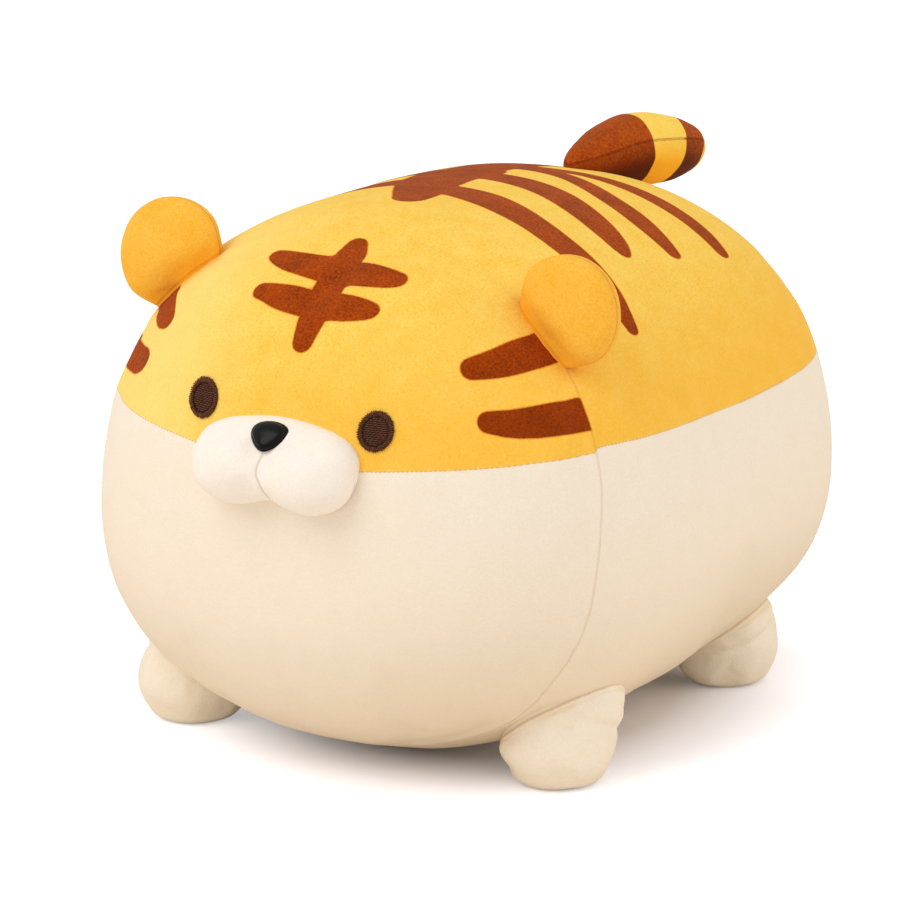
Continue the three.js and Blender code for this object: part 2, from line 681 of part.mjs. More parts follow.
function buildTiger() {
  const tiger = new THREE.Group();
  tiger.add(...buildBody(), ...buildMuzzle(), buildTail());
  const eye = buildEye();
  tiger.add(piece('eye_left', eye, thread), piece('eye_right', mirrored(eye), thread));
  const ear = buildEar();
  for (const [side, turn] of [['left', (shape) => shape], ['right', mirrored]]) {
    const pivot = side === 'left' ? ear.base : ear.base.clone().multiply(new THREE.Vector3(-1, 1, 1));
    tiger.add(hungAt(pivot, [
      piece(`ear_${side}_front`, turn(ear.front).clone(), plushYellow),
      piece(`ear_${side}_back`, turn(ear.back).clone(), plushYellow),
      piece(`ear_${side}_filling`, turn(ear.filling).clone(), fibre),
    ]));
  }
  const feet = {
    front: new THREE.Vector2(bodyWidth / 2 - frontFootInset, frontFootSetback - bodyLength / 2),
    rear: new THREE.Vector2(bodyWidth / 2 - rearFootInset, bodyLength / 2 - rearFootSetback),
  };
  for (const [end, centre] of Object.entries(feet)) {
    const foot = buildFoot(centre);
    tiger.add(piece(`foot_${end}_left_cover`, foot.cover, plushCream));
    tiger.add(piece(`foot_${end}_left_filling`, foot.filling, fibre));
    tiger.add(piece(`foot_${end}_right_cover`, mirrored(foot.cover), plushCream));
    tiger.add(piece(`foot_${end}_right_filling`, mirrored(foot.filling), fibre));
  }
  const reach = new THREE.Box3().setFromObject(tiger, true);
  tiger.position.y = -(reach.min.y + reach.max.y) / 2;
  return tiger;
}

export default buildTiger();
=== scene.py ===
"""Stuffed tiger: plush covers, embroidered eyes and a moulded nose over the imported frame.

Sizes are in millimetres about the middle of the body's centre line, and turn into
metres in the row frame where a mesh is made. The face looks along -Y, +Z is up and
the toy's own left is +X.
"""

from __future__ import annotations

import json
import logging
import math
from dataclasses import dataclass, field
from enum import Enum
from functools import partial
from typing import Any, Callable

import bmesh
import bpy
import numpy as np
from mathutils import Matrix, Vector
from mathutils.bvhtree import BVHTree


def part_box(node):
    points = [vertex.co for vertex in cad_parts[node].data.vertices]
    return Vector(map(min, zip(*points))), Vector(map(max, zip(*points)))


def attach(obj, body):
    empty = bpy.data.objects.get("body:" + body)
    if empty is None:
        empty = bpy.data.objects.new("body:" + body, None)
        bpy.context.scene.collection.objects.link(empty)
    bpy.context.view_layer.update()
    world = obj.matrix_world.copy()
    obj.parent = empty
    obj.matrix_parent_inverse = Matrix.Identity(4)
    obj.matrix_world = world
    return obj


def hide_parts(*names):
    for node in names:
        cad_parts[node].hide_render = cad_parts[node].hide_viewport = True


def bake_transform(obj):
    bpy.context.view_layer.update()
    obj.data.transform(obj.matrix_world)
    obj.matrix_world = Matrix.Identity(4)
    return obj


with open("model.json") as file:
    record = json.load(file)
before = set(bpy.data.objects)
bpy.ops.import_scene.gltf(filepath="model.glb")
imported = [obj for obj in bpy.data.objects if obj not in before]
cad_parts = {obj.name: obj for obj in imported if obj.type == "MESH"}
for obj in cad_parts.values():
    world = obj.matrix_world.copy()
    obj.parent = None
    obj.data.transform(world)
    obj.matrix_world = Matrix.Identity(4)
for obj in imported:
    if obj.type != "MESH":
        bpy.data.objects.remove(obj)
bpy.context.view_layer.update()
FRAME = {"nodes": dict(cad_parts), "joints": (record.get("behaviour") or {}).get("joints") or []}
LOG = logging.getLogger("tiger")

Points = np.ndarray
Field = Callable[[np.ndarray], np.ndarray]
Faces = list[tuple[int, ...]]
Socket = bpy.types.NodeSocket
AddNode = Callable[..., Socket]

MM = 1000  # millimetres in a metre
NOWHERE = 50.0  # stands for a seam that is nowhere near
SUNK = -3.0  # how far a sewn-on cover may lie in the body
HALVINGS = 34  # halvings of a search, until the step is far below a thousandth


# Numbers and meshes


def linear(hex_code: str) -> tuple[float, float, float, float]:
    """Turn an sRGB hex colour into the linear colour that a shader takes.

    Args:
        hex_code: Six hex digits, such as "fccb54".

    Returns:
        Linear red, green and blue, and an alpha of 1.
    """
    parts = [int(hex_code[start : start + 2], 16) / 255 for start in (0, 2, 4)]
    red, green, blue = (
        part / 12.92 if part <= 0.04045 else ((part + 0.055) / 1.055) ** 2.4 for part in parts
    )
    return red, green, blue, 1.0


def smooth(low: float, high: float, value: Points) -> Points:
    """Rise smoothly from 0 at low to 1 at high.

    Args:
        low: Value at which the rise starts.
        high: Value at which it ends.
        value: Values to weigh.

    Returns:
        A weight from 0 to 1 for each value.
    """
    share = np.clip((value - low) / (high - low), 0, 1)
    return share * share * (3 - 2 * share)


def dip(distance: Points, width: float) -> Points:
    """Bell of height 1 and the given width, for grooves and folds.

    Args:
        distance: Distances from the middle of the groove.
        width: Distance at which it has fallen to about a third.

    Returns:
        A weight from 0 to 1 for each distance.
    """
    return np.exp(-((distance / width) ** 2))


def eased(rows: Points, steps: int = 4) -> Points:
    """Run a smooth curve through a row of places.

    Args:
        rows: The places to pass through.
        steps: Steps from one place to the next.

    Returns:
        More places along the curve, the given ones among them.
    """
    ends = np.concatenate([2 * rows[:1] - rows[1:2], rows, 2 * rows[-1:] - rows[-2:-1]])
    share = np.arange(steps)[:, None] / steps
    curve = []
    for before, start, end, after in zip(ends, ends[1:], ends[2:], ends[3:]):
        lean_in, lean_out = (end - before) / 2, (after - start) / 2
        bend = 2 * start - 2 * end + lean_in + lean_out
        turn = 3 * (end - start) - 2 * lean_in - lean_out
        curve.append(start + lean_in * share + turn * share**2 + bend * share**3)
    return np.concatenate([*curve, rows[-1:]])


def unevenness(points: Points, size: float, seed: int) -> Points:
    """Slow swell of the stuffing, as a few crossing waves.

    Args:
        points: Places on the surface.
        size: Typical distance from one hump to the next.
        seed: Picks the waves, which are the same on every run.

    Returns:
        A height from about -1 to 1 for each point.
    """
    pick = np.random.default_rng(seed)
    total = np.zeros(len(points))
    waves = 7
    for _ in range(waves):
        heading = pick.normal(size=3)
        heading /= np.linalg.norm(heading)
        pitch = 2 * math.pi / (size * pick.uniform(0.8, 1.7))
        total += np.sin(points @ heading * pitch + pick.uniform(0, 2 * math.pi))
    return total / math.sqrt(waves)


def unit(rows: Points) -> Points:
    """Scale each row to length 1."""
    return rows / np.linalg.norm(rows, axis=1)[:, None]


def even_rays(cuts: int, stretch: tuple[float, float, float] | None = None) -> tuple[Points, Faces]:
    """Even directions all round, from a cube whose faces are cut into squares.

    Args:
        cuts: Squares along each edge of the cube.
        stretch: Relative sizes of an oval that the directions are spread over.

    Returns:
        The unit directions and the outward faces between them.
    """
    mesh = bmesh.new()
    bmesh.ops.create_cube(mesh, size=2.0)
    bmesh.ops.subdivide_edges(mesh, edges=mesh.edges[:], cuts=cuts - 1, use_grid_fill=True)
    rays = unit(np.tan(np.array([vertex.co[:] for vertex in mesh.verts]) * math.pi / 4))
    faces = [tuple(vertex.index for vertex in face.verts) for face in mesh.faces]
    mesh.free()
    return (rays if stretch is None else unit(rays * np.array(stretch))), faces


def ringed(sides: int, rings: int) -> Faces:
    """Faces of a closed form made of a first point, rings of points and a last point.

    Args:
        sides: Points in each ring.
        rings: How many rings there are.

    Returns:
        The faces, outward where the rings turn left about the way from first to last.
    """
    faces: Faces = []
    last = 1 + rings * sides
    for side in range(sides):
        other = (side + 1) % sides
        faces.append((0, 1 + other, 1 + side))
        for low in range(1, last - sides, sides):
            high = low + sides
            faces.append((low + side, low + other, high + other, high + side))
        faces.append((last - sides + side, last - sides + other, last))
    return faces


def close_in(field_at: Field, start: Points, heading: Points, far: float) -> tuple[Points, Points]:
    """Close in on the distance at which a field turns positive on the way out.

    Args:
        field_at: Negative inside the form and positive outside it.
        start: A place inside the form, or one for each direction.
        heading: Unit directions to walk in.
        far: A distance that is surely outside.

    Returns:
        A distance just inside the form and one just outside it, for each direction.
    """
    low, high = np.zeros(len(heading)), np.full(len(heading), far)
    for _ in range(HALVINGS):
        middle = (low + high) / 2
        outside = field_at(start + heading * middle[:, None]) > 0
        high = np.where(outside, middle, high)
        low = np.where(outside, low, middle)
    return low, high


def radial(field_at: Field, centre: Points, rays: Points, far: float) -> Points:
    """Surface point in each direction from a centre, found as close_in does."""
    low, high = close_in(field_at, centre, rays, far)
    return centre + rays * ((low + high) / 2)[:, None]


def add_node(
    tree: bpy.types.NodeTree,
    kind: str,
    inputs: dict[Any, Any] | None = None,
    out: int | str = 0,
    **settings: Any,
) -> Socket | None:
    """Add a node, set it and link it.

    Args:
        tree: The tree that it joins.
        kind: The node's type name, without ShaderNode in front where it is one.
        inputs: Input name or number, to a value or to the socket that feeds it.
        out: Name or number of the output that is wanted.
        **settings: Properties of the node.

    Returns:
        The wanted output, or None from a node that has none.
    """
    node = tree.nodes.new(kind if "Node" in kind else f"ShaderNode{kind}")
    for name, setting in settings.items():
        setattr(node, name, setting)
    for key, feed in (inputs or {}).items():
        if isinstance(feed, Socket):
            tree.links.new(feed, node.inputs[key])
        else:
            node.inputs[key].default_value = feed
    return node.outputs[out] if len(node.outputs) else None


def clean_tree(owner: bpy.types.Material | bpy.types.World) -> AddNode:
    """Empty the tree of a material or a world, and give the function that adds to it.

    Args:
        owner: The material or the world.

    Returns:
        A function that takes what add_node does after its tree.
    """
    owner.use_nodes = True
    owner.node_tree.nodes.clear()
    return partial(add_node, owner.node_tree)


# The body that carries everything


class Seen(Enum):
    """Side that a place is looked up from: axis of its second number, axis and way to look."""

    ABOVE = (1, 2, 1)
    BELOW = (1, 2, -1)
    FRONT = (2, 1, -1)


@dataclass(frozen=True)
class Barrel:
    """Outline of the stuffed body: a rounded barrel, taller above its centre line than below."""

    length: float = 400.0
    width: float = 344.0
    crown_rise: float = 170.0
    belly_drop: float = 122.5
    centre_height: float = 124.6
    front_fullness: float = 2.81
    rear_fullness: float = 3.75
    crown_fullness: float = 2.34
    belly_fullness: float = 2.18
    narrowing: float = 0.066
    lowering: float = 0.083
    seam_y: float = -129.4
    seam_lean: float = 0.139
    seam_sweep: float = 12.0
    rump_seam_y: float = 170.0
    rump_seam_lean: float = -0.1
    longest_lift: float = 25.0

    @property
    def shift(self) -> Points:
        """Row-frame place of the middle of the centre line, in millimetres."""
        low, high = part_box("body_filling")
        return np.array([0.0, (low.y + high.y) * MM / 2, self.centre_height])

    def field(self, points: Points) -> Points:
        """Negative inside the body and positive outside it.

        Args:
            points: Places about the body's centre.

        Returns:
            A number for each place, with no fixed scale.
        """
        along = np.clip(points[:, 1] / (self.length / 2), -1.3, 1.3)
        fullness = np.where(along < 0, self.front_fullness, self.rear_fullness)
        girth = 1 - np.abs(along) ** fullness
        above = points[:, 2] > 0
        power = np.where(above, self.crown_fullness, self.belly_fullness)
        half_width = self.width / 2 * (1 - self.narrowing * along)
        rise = np.where(above, self.crown_rise, self.belly_drop) * (1 - self.lowering * along)
        reach = np.abs(points[:, 0] / half_width) ** power + np.abs(points[:, 2] / rise) ** power
        inner = np.sign(girth) * np.abs(girth) ** (1 / fullness)
        return reach ** (1 / power) - inner

    def normal(self, points: Points) -> tuple[Points, Points]:
        """Outward unit direction and length of the field's slope at each point.

        Args:
            points: Places about the body's centre.

        Returns:
            The directions, and the slopes per millimetre.
        """
        step = 0.25
        sides = [(self.field(points + way), self.field(points - way)) for way in np.eye(3) * step]
        slope = np.stack([(ahead - behind) / (2 * step) for ahead, behind in sides], axis=1)
        length = np.maximum(np.linalg.norm(slope, axis=1), 1e-6)
        return slope / length[:, None], length

    def distance(self, points: Points) -> Points:
        """Distance outside the body's surface, negative inside it, good close to the surface."""
        _, slope = self.normal(points)
        return self.field(points) / slope

    def settle(self, points: Points, least: float | Points, passes: int = 6) -> Points:
        """Lift the points that lie deeper than a limit out to that limit.

        Args:
            points: Places to test.
            least: Least distance outside the surface, negative to allow a little inside.
            passes: Steps of the search.

        Returns:
            The points, with the deep ones lifted along the body's outward direction.
        """
        moved = points.copy()
        for _ in range(passes):
            heading, slope = self.normal(moved)
            short = np.maximum(least - self.field(moved) / slope, 0)
            moved += heading * np.minimum(short, self.longest_lift)[:, None]
        return moved

    def on_surface(self, across: Points, other: Points, view: Seen) -> Points:
        """Surface points under two coordinates.

        Args:
            across: X of each point.
            other: Y for a view from above, Z for a view from the front.
            view: The side that the points are looked up from.

        Returns:
            The points on the body's surface.
        """
        second, axis, way = view.value
        start, heading = np.zeros((2, len(across), 3))
        start[:, 0], start[:, second] = across, other
        heading[:, axis] = way
        return start + heading * close_in(self.field, start, heading, self.length)[0][:, None]

    def face_seam(self, points: Points) -> Points:
        """Distance behind the ring seam of the face, negative in front of it.

        Args:
            points: Places about the body's centre.

        Returns:
            The distances.
        """
        lean = math.hypot(1, self.seam_lean)
        sweep = self.seam_sweep * smooth(-50.0, -118.0, points[:, 2])
        return (points[:, 1] - self.seam_y - self.seam_lean * points[:, 2] - sweep) / lean

    def rump_seam(self, points: Points) -> Points:
        """Distance behind the ring seam of the rump."""
        lean = math.hypot(1, self.rump_seam_lean)
        return (points[:, 1] - self.rump_seam_y - self.rump_seam_lean * points[:, 2]) / lean


BARREL = Barrel()


def object_of(name: str, points: Points, faces: Faces) -> bpy.types.Object:
    """Make a smooth mesh object at the origin of the row frame.

    Args:
        name: The object's name.
        points: Places about the body's centre, in millimetres.
        faces: Corner numbers of each face, outward.

    Returns:
        The object, linked to the scene.
    """
    mesh = bpy.data.meshes.new(name)
    mesh.from_pydata(((points + BARREL.shift) / MM).tolist(), [], faces)
    mesh.polygons.foreach_set("use_smooth", np.ones(len(mesh.polygons), dtype=bool))
    mesh.update()
    item = bpy.data.objects.new(name, mesh)
    bpy.context.scene.collection.objects.link(item)
    return item


def points_of(mesh: bpy.types.Mesh) -> Points:
    """Vertices of a mesh about the body's centre, in millimetres.

    Args:
        mesh: The mesh, in metres in the row frame.

    Returns:
        A row for each vertex.
    """
    flat = np.zeros(len(mesh.vertices) * 3)
    mesh.vertices.foreach_get("co", flat)
    return flat.reshape(-1, 3) * MM - BARREL.shift


def keep_on(item: bpy.types.Object, **values: Points) -> None:
    """Store named numbers on each vertex of a piece for its material to read.

    Args:
        item: The piece.
        **values: A number for each vertex under each name.
    """
    for name, numbers in values.items():
        layer = item.data.attributes.new(name, "FLOAT", "POINT")
        layer.data.foreach_set("value", numbers.astype(np.float32))


def freeze(item: bpy.types.Object) -> None:
    """Turn what the modifiers make into the object's own mesh and drop them.

    Args:
        item: The object.
    """
    graph = bpy.context.evaluated_depsgraph_get()
    finished = bpy.data.meshes.new_from_object(item.evaluated_get(graph))
    finished.name = item.name
    item.modifiers.clear()
    item.data = finished


# Finishes


@dataclass(frozen=True)
class Finish:
    """A surface finish that makes its own material."""

    name: str

    def feeds(self, node: AddNode, where: Socket) -> dict[str, Any]:
        """Add the nodes of the finish, and give what its shader takes from them."""
        raise NotImplementedError

    def material(self) -> bpy.types.Material:
        """Build the material, which reads the piece's object coordinates and attributes.

        Returns:
            The material.
        """
        material = bpy.data.materials.new(self.name)
        node = clean_tree(material)
        shader = node("BsdfPrincipled", self.feeds(node, node("TexCoord", out="Object")))
        node("OutputMaterial", {"Surface": shader})
        return material


@dataclass(frozen=True)
class Dye:
    """One dyed area of the cloth: colours deep in the pile, on its lit tips and as painted shade.
    """

    deep: str
    tips: str
    turned: str
    edge: str = ""
    bleed: float = 0.8
    fringe: str = ""

    def colour(self, node: AddNode, tips: Socket, turned: Socket | None) -> Socket:
        """Mix the dye's colours.

        Args:
            node: Adds a node to the material.
            tips: Share of lit tips.
            turned: Share of painted shade, on a piece that has it.

        Returns:
            The colour socket.
        """
        lit = {0: tips, 6: linear(self.deep), 7: linear(self.tips)}
        lit = node("Mix", lit, 2, data_type="RGBA")
        if turned is None:
            return lit
        return node("Mix", {0: turned, 6: lit, 7: linear(self.turned)}, 2, data_type="RGBA")


@dataclass(frozen=True)
class Crease:
    """A sewn line, fold or painted shade in the cloth: its attribute, size and tone."""

    attribute: str
    half_width: float
    depth: float
    tone: str
    strength: float
    run: str = ""
    pitch: float = 2.4
    fade: str = ""

    def draw(self, node: AddNode, colour: Socket, height: Socket) -> tuple[Socket, Socket]:
        """Draw the line into the colour and the height.

        Args:
            node: Adds a node to the material.
            colour: Colour so far.
            height: Height so far.

        Returns:
            The new colour and height.
        """
        away = node("Attribute", out="Fac", attribute_name=self.attribute)
        away = node("Math", {0: away}, operation="ABSOLUTE")
        if self.fade:
            lost = node("Attribute", out="Fac", attribute_name=self.fade)
            away = node("Math", {0: away, 1: lost}, operation="ADD")
        steps = {0: away, 2: self.half_width, 3: 1.0, 4: 0.0}
        depth = node("MapRange", steps, interpolation_type="SMOOTHSTEP")
        lower = {0: depth, 1: -self.depth / MM, 2: height}
        height = node("Math", lower, operation="MULTIPLY_ADD")
        share = node("Math", {0: depth, 1: self.strength}, operation="MULTIPLY")
        if self.run:
            run = node("Attribute", out="Fac", attribute_name=self.run)
            phase = node("Math", {0: run, 1: 2 * math.pi / self.pitch}, operation="MULTIPLY")
            wave = node("Math", {0: phase}, operation="SINE")
            dash = node("MapRange", {0: wave, 1: -0.5, 2: 0.3, 3: 0.15})
            share = node("Math", {0: share, 1: dash}, operation="MULTIPLY")
        toned = {0: share, 6: colour, 7: linear(self.tone)}
        return node("Mix", toned, 2, data_type="RGBA", blend_type="MULTIPLY"), height


@dataclass(frozen=True)
class ShornPlush(Finish):
    """Short-pile plush: a knitted polyester ground with pile shorn to about 2 mm.

    The shorn tips scatter light evenly, so it has no gloss, only a faint pale sheen
    where it is seen edge on. A deeper colour is painted in as shade where a piece's
    attribute asks, and a paler one is painted in as light.
    """

    ground: Dye
    prints: tuple[Dye, ...] = ()
    creases: tuple[Crease, ...] = ()
    nap: str = ""
    clump: float = 1.3
    lay: float = 16.0
    pile_depth: float = 0.3
    lifted: str = ""

    def feeds(self, node: AddNode, where: Socket) -> dict[str, Any]:
        """Add the pile, the prints and the sewn lines.

        Args:
            node: Adds a node to the material.
            where: The piece's object coordinates.

        Returns:
            What the shader takes.
        """
        # Pile clumps, drawn about twice as coarse as real ones so that they show
        noise = {"Vector": where, "Scale": MM / self.clump, "Detail": 3.0, "Roughness": 0.65}
        clumps = node("TexNoise", noise)
        # The slower lay of the pile, as a hand leaves it
        noise = {"Vector": where, "Scale": MM / self.lay, "Detail": 4.0, "Roughness": 0.6}
        lay = node("TexNoise", noise)
        fine = node("MapRange", {0: clumps, 1: 0.3, 2: 0.7, 3: -0.4, 4: 0.4})
        slow = node("MapRange", {0: lay, 1: 0.3, 2: 0.7, 3: 0.33, 4: 0.67})
        tips = node("Math", {0: fine, 1: slow}, operation="ADD", use_clamp=True)
        # Painted shade: the dye's deeper copy, mixed in by the piece's painted shade attribute
        turned = node("Attribute", out="Fac", attribute_name=self.nap) if self.nap else None
        colour = self.ground.colour(node, tips, turned)
        # Painted light: a paler colour, mixed in by the piece's painted light attribute
        if self.lifted:
            share = node("Attribute", out="Fac", attribute_name="lifted")
            pale = {0: share, 6: colour, 7: linear(self.lifted)}
            colour = node("Mix", pale, 2, data_type="RGBA")
        wander = node("Math", {0: clumps, 1: 0.5}, operation="SUBTRACT")
        for dye in self.prints:
            distance = node("Attribute", out="Fac", attribute_name=dye.edge)
            ragged = {0: wander, 1: 0.8 * dye.bleed, 2: distance}
            ragged = node("Math", ragged, operation="MULTIPLY_ADD")
            inside = node("MapRange", {0: ragged, 1: dye.bleed / 2, 2: -dye.bleed / 2})
            if dye.fringe:
                halo = node("MapRange", {0: ragged, 1: 1.6 * dye.bleed, 2: 0.3 * dye.bleed, 4: 0.8})
                fringe = {0: halo, 6: colour, 7: linear(dye.fringe)}
                colour = node("Mix", fringe, 2, data_type="RGBA")
            printed = {0: inside, 6: colour, 7: dye.colour(node, tips, turned)}
            colour = node("Mix", printed, 2, data_type="RGBA")
        height = node("Math", {0: clumps, 1: self.pile_depth / MM}, operation="MULTIPLY")
        for crease in self.creases:
            colour, height = crease.draw(node, colour, height)
        return {
            "Base Color": colour,
            "Roughness": 0.92,
            "IOR": 1.5,
            "Specular IOR Level": 0.04,
            "Sheen Weight": 0.08,
            "Sheen Roughness": 0.55,
            "Sheen Tint": linear("ffe9c0"),
            "Normal": node("Bump", {"Height": height, "Distance": 1.0}),
        }


@dataclass(frozen=True)
class SatinThread(Finish):
    """Polyester embroidery thread: bright filaments that give each stitch a soft glint.

    The filaments are drawn several times as coarse as real ones, so that the streaks show.
    """

    deep: str
    lit: str
    grain: float = 0.9

    def feeds(self, node: AddNode, where: Socket) -> dict[str, Any]:
        """Add the streaks between two tones, and their height.

        Args:
            node: Adds a node to the material.
            where: The piece's object coordinates.

        Returns:
            What the shader takes.
        """
        noise = {"Vector": where, "Scale": MM / self.grain, "Detail": 3.0, "Roughness": 0.6}
        strands = node("TexNoise", noise)
        spread = node("MapRange", {0: strands, 1: 0.3, 2: 0.7})
        tones = {0: spread, 6: linear(self.deep), 7: linear(self.lit)}
        height = node("Math", {0: strands, 1: 0.06 / MM}, operation="MULTIPLY")
        return {
            "Base Color": node("Mix", tones, 2, data_type="RGBA"),
            "Roughness": 0.42,
            "Specular IOR Level": 0.2,
            "Normal": node("Bump", {"Height": height, "Distance": 1.0}),
        }


@dataclass(frozen=True)
class MouldedPlastic(Finish):
    """Injection-moulded plastic: its gloss is broken by the faint waviness of the mould."""

    colour: str
    roughness: float
    level: float = 0.5
    ripple: float = 7.0
    ripple_depth: float = 0.03

    def feeds(self, node: AddNode, where: Socket) -> dict[str, Any]:
        """Add the slow, shallow ripples of the skin.

        Args:
            node: Adds a node to the material.
            where: The piece's object coordinates.

        Returns:
            What the shader takes.
        """
        wave = node("TexNoise", {"Vector": where, "Scale": MM / self.ripple, "Detail": 2.0})
        height = node("Math", {0: wave, 1: self.ripple_depth / MM}, operation="MULTIPLY")
        worn = {0: wave, 1: 0.3, 2: 0.7, 3: self.roughness * 0.85, 4: self.roughness * 1.2}
        return {
            "Base Color": linear(self.colour),
            "Roughness": node("MapRange", worn),
            "IOR": 1.5,
            "Specular IOR Level": self.level,
            "Normal": node("Bump", {"Height": height, "Distance": 1.0}),
        }


# The third colour of each dye is a deeper copy of it, used as painted shade
# Ground cloth of the back: warm and even, with paler tips where the pile catches light
YELLOW = Dye("f9c036", "fedf74", "fdba38")
# Pale underside: a soft off-white, painted sandier towards the floor as shade
CREAM = Dye("f4e9d6", "f9f0e3", "ecdcc2", "cream_edge")
# Screen-printed stripes: rusty brown, with an orange fringe where the print bleeds
BROWN = Dye("702602", "c25009", "702804", "brown_edge", 0.6, "e68a20")
# Muzzle cloth: nearly white, so that the face's middle is the brightest place
WHITE = Dye("f7eee4", "fdf9f3", "f1e6da")
# Ear cloth: a stronger yellow than the body's
EAR_YELLOW = Dye("f6ad22", "fdca58", "f5a21a")
# Foot cloth: cream, a touch warmer than the belly
FOOT_CREAM = Dye("f4e8d2", "faf2e3", "efdfc4")
# Tail cloth: brown ground with yellow bands, painted nearly black below as shade
TAIL_BROWN = Dye("853004", "c75b17", "561a00")
TAIL_YELLOW = Dye("ffcc42", "ffe272", "fbb426", "yellow_edge")


# Stuffing


@dataclass
class Cover:
    """One sewn cover before it is stuffed: its shape, its sewn lines and how far it may swell."""

    item: bpy.types.Object
    held: Points
    cap: float
    give: float
    dent: float = 0.7
    soften: int = 4
    stiffness: float = 0.5
    slip: float = 0.6

    def start(self) -> None:
        """Put cloth under pressure on the cover, held along its seams."""
        group = self.item.vertex_groups.new(name="sewn")
        for index in np.nonzero(self.held > 0.02)[0]:
            group.add([int(index)], float(self.held[index]), "REPLACE")
        settings = self.item.modifiers.new("stuffing", "CLOTH").settings
        settings.quality = 5
        settings.mass = 0.01
        settings.air_damping = 1.0
        settings.tension_stiffness = 15.0
        settings.compression_stiffness = 15.0
        settings.shear_stiffness = 7.5
        settings.bending_stiffness = self.stiffness
        settings.shrink_min = -self.give
        settings.use_pressure = True
        settings.uniform_pressure_force = 4.0
        settings.vertex_group_mass = "sewn"
        settings.pin_stiffness = 1.0
        settings.effector_weights.gravity = 0.0

    def finish(self, rest: Points) -> float:
        """Keep what the cloth did, up to the cap, and drop the modifier.

        Args:
            rest: Places before the cover was stuffed.

        Returns:
            The mean distance that the cloth kept outwards.
        """
        graph = bpy.context.evaluated_depsgraph_get()
        swollen = self.item.evaluated_get(graph).to_mesh()
        moved = points_of(swollen) - rest
        self.item.evaluated_get(graph).to_mesh_clear()
        outward = np.zeros(len(rest) * 3)
        self.item.data.vertices.foreach_get("normal", outward)
        outward = outward.reshape(-1, 3)
        out = (moved * outward).sum(axis=1)
        slide = moved - outward * out[:, None]
        length = np.maximum(np.linalg.norm(slide, axis=1), 1e-6)
        slide *= np.minimum(0.5, self.slip / length)[:, None]
        kept = np.clip(out, -self.dent, self.cap)
        edges = np.zeros(len(self.item.data.edges) * 2, dtype=int)
        self.item.data.edges.foreach_get("vertices", edges)
        ends = np.concatenate([edges.reshape(-1, 2), edges.reshape(-1, 2)[:, ::-1]])
        count = np.bincount(ends[:, 0], minlength=len(rest))
        for _ in range(self.soften):
            around = np.bincount(ends[:, 0], weights=kept[ends[:, 1]], minlength=len(rest))
            kept = 0.5 * kept + 0.5 * around / count
        self.item.modifiers.clear()
        self.item.vertex_groups.clear()
        flat = ((rest + slide + outward * kept[:, None] + BARREL.shift) / MM).astype(np.float32)
        flat[:, 2] = np.maximum(flat[:, 2], 0.0)
        self.item.data.vertices.foreach_set("co", flat.ravel())
        self.item.data.update()
        return float(kept.mean())


@dataclass
class Stuffing:
    """Blows all the covers up together with cloth simulation."""

    covers: list[Cover] = field(default_factory=list)
    frames: int = 20

    def fill(self) -> None:
        """Run the simulation once for all covers and keep its result in their meshes."""
        rests = [points_of(cover.item.data) for cover in self.covers]
        for cover in self.covers:
            cover.start()
        scene = bpy.context.scene
        for frame in range(1, self.frames + 1):
            scene.frame_set(frame)
        for cover, rest in zip(self.covers, rests):
            swell = cover.finish(rest)
            LOG.info("%s stuffed, swelled %.2f mm", cover.item.name, swell)
        scene.frame_set(1)


def subdivided(item: bpy.types.Object) -> Points:
    """Smooth a piece with one round of subdivision, keep the result and give its places.

    Args:
        item: The piece.

    Returns:
        Its places about the body's centre.
    """
    smoother = item.modifiers.new("smooth", "SUBSURF")
    smoother.levels = smoother.render_levels = 1
    freeze(item)
    return points_of(item.data)


@dataclass
class Padded:
    """A cover that is sewn slack, stuffed together with the others and then dressed."""

    item: bpy.types.Object | None = field(default=None, init=False)

    def hand_over(self, stuffing: Stuffing, held: Points, swell: float, **cloth: float) -> None:
        """Give the cover to the stuffing, to swell so many times its slack."""
        stuffing.covers.append(Cover(self.item, held, self.slack * swell, **cloth))

    def sew(self, stuffing: Stuffing) -> None:
        """Make the slack cover and hand it to the stuffing."""
        raise NotImplementedError

    def dress(self) -> None:
        """Finish the stuffed cover and put it on the frame."""
        raise NotImplementedError


def side_name(side: int) -> str:
    """Word for a side in the node names, 1 for the toy's own left."""
    return "left" if side > 0 else "right"


def joint_named(name: str) -> dict[str, Any]:
    """Record of one of the frame's joints."""
    return next(joint for joint in FRAME["joints"] if joint["name"] == name)


# Print on the body


@dataclass(frozen=True)
class Stroke:
    """A printed stripe: points on the body with the stripe's half width at each."""

    points: tuple[tuple[float, float, float], ...]
    seen: Seen = Seen.ABOVE
    drifts_within: float = 110.0

    def edge(self, places: Points, side: int = 1, drift: float = 0.0, back: float = 0.0) -> Points:
        """Distance of each place from the stripe's edge, negative inside it.

        Args:
            places: Points on the body.
            side: 1 for the toy's left, -1 to mirror the stripe.
            drift: How far the mirrored stripe's start lies over to the toy's right.
            back: How far it lies further back.

        Returns:
            The distances.
        """
        rows = eased(np.array(self.points))
        across, other = rows[:, 0].copy(), rows[:, 1].copy()
        if side < 0:
            across = -across - drift * (1 - np.minimum(np.abs(across) / self.drifts_within, 1))
            other = other + back
        spots = BARREL.on_surface(across, other, self.seen)
        best = np.full(len(places), math.inf)
        for start, end, low, high in zip(spots[:-1], spots[1:], rows[:-1, 2], rows[1:, 2]):
            run = end - start
            share = np.clip((places - start) @ run / (run @ run), 0, 1)
            away = np.linalg.norm(places - start - share[:, None] * run, axis=1)
            best = np.minimum(best, away - low - (high - low) * share)
        return best


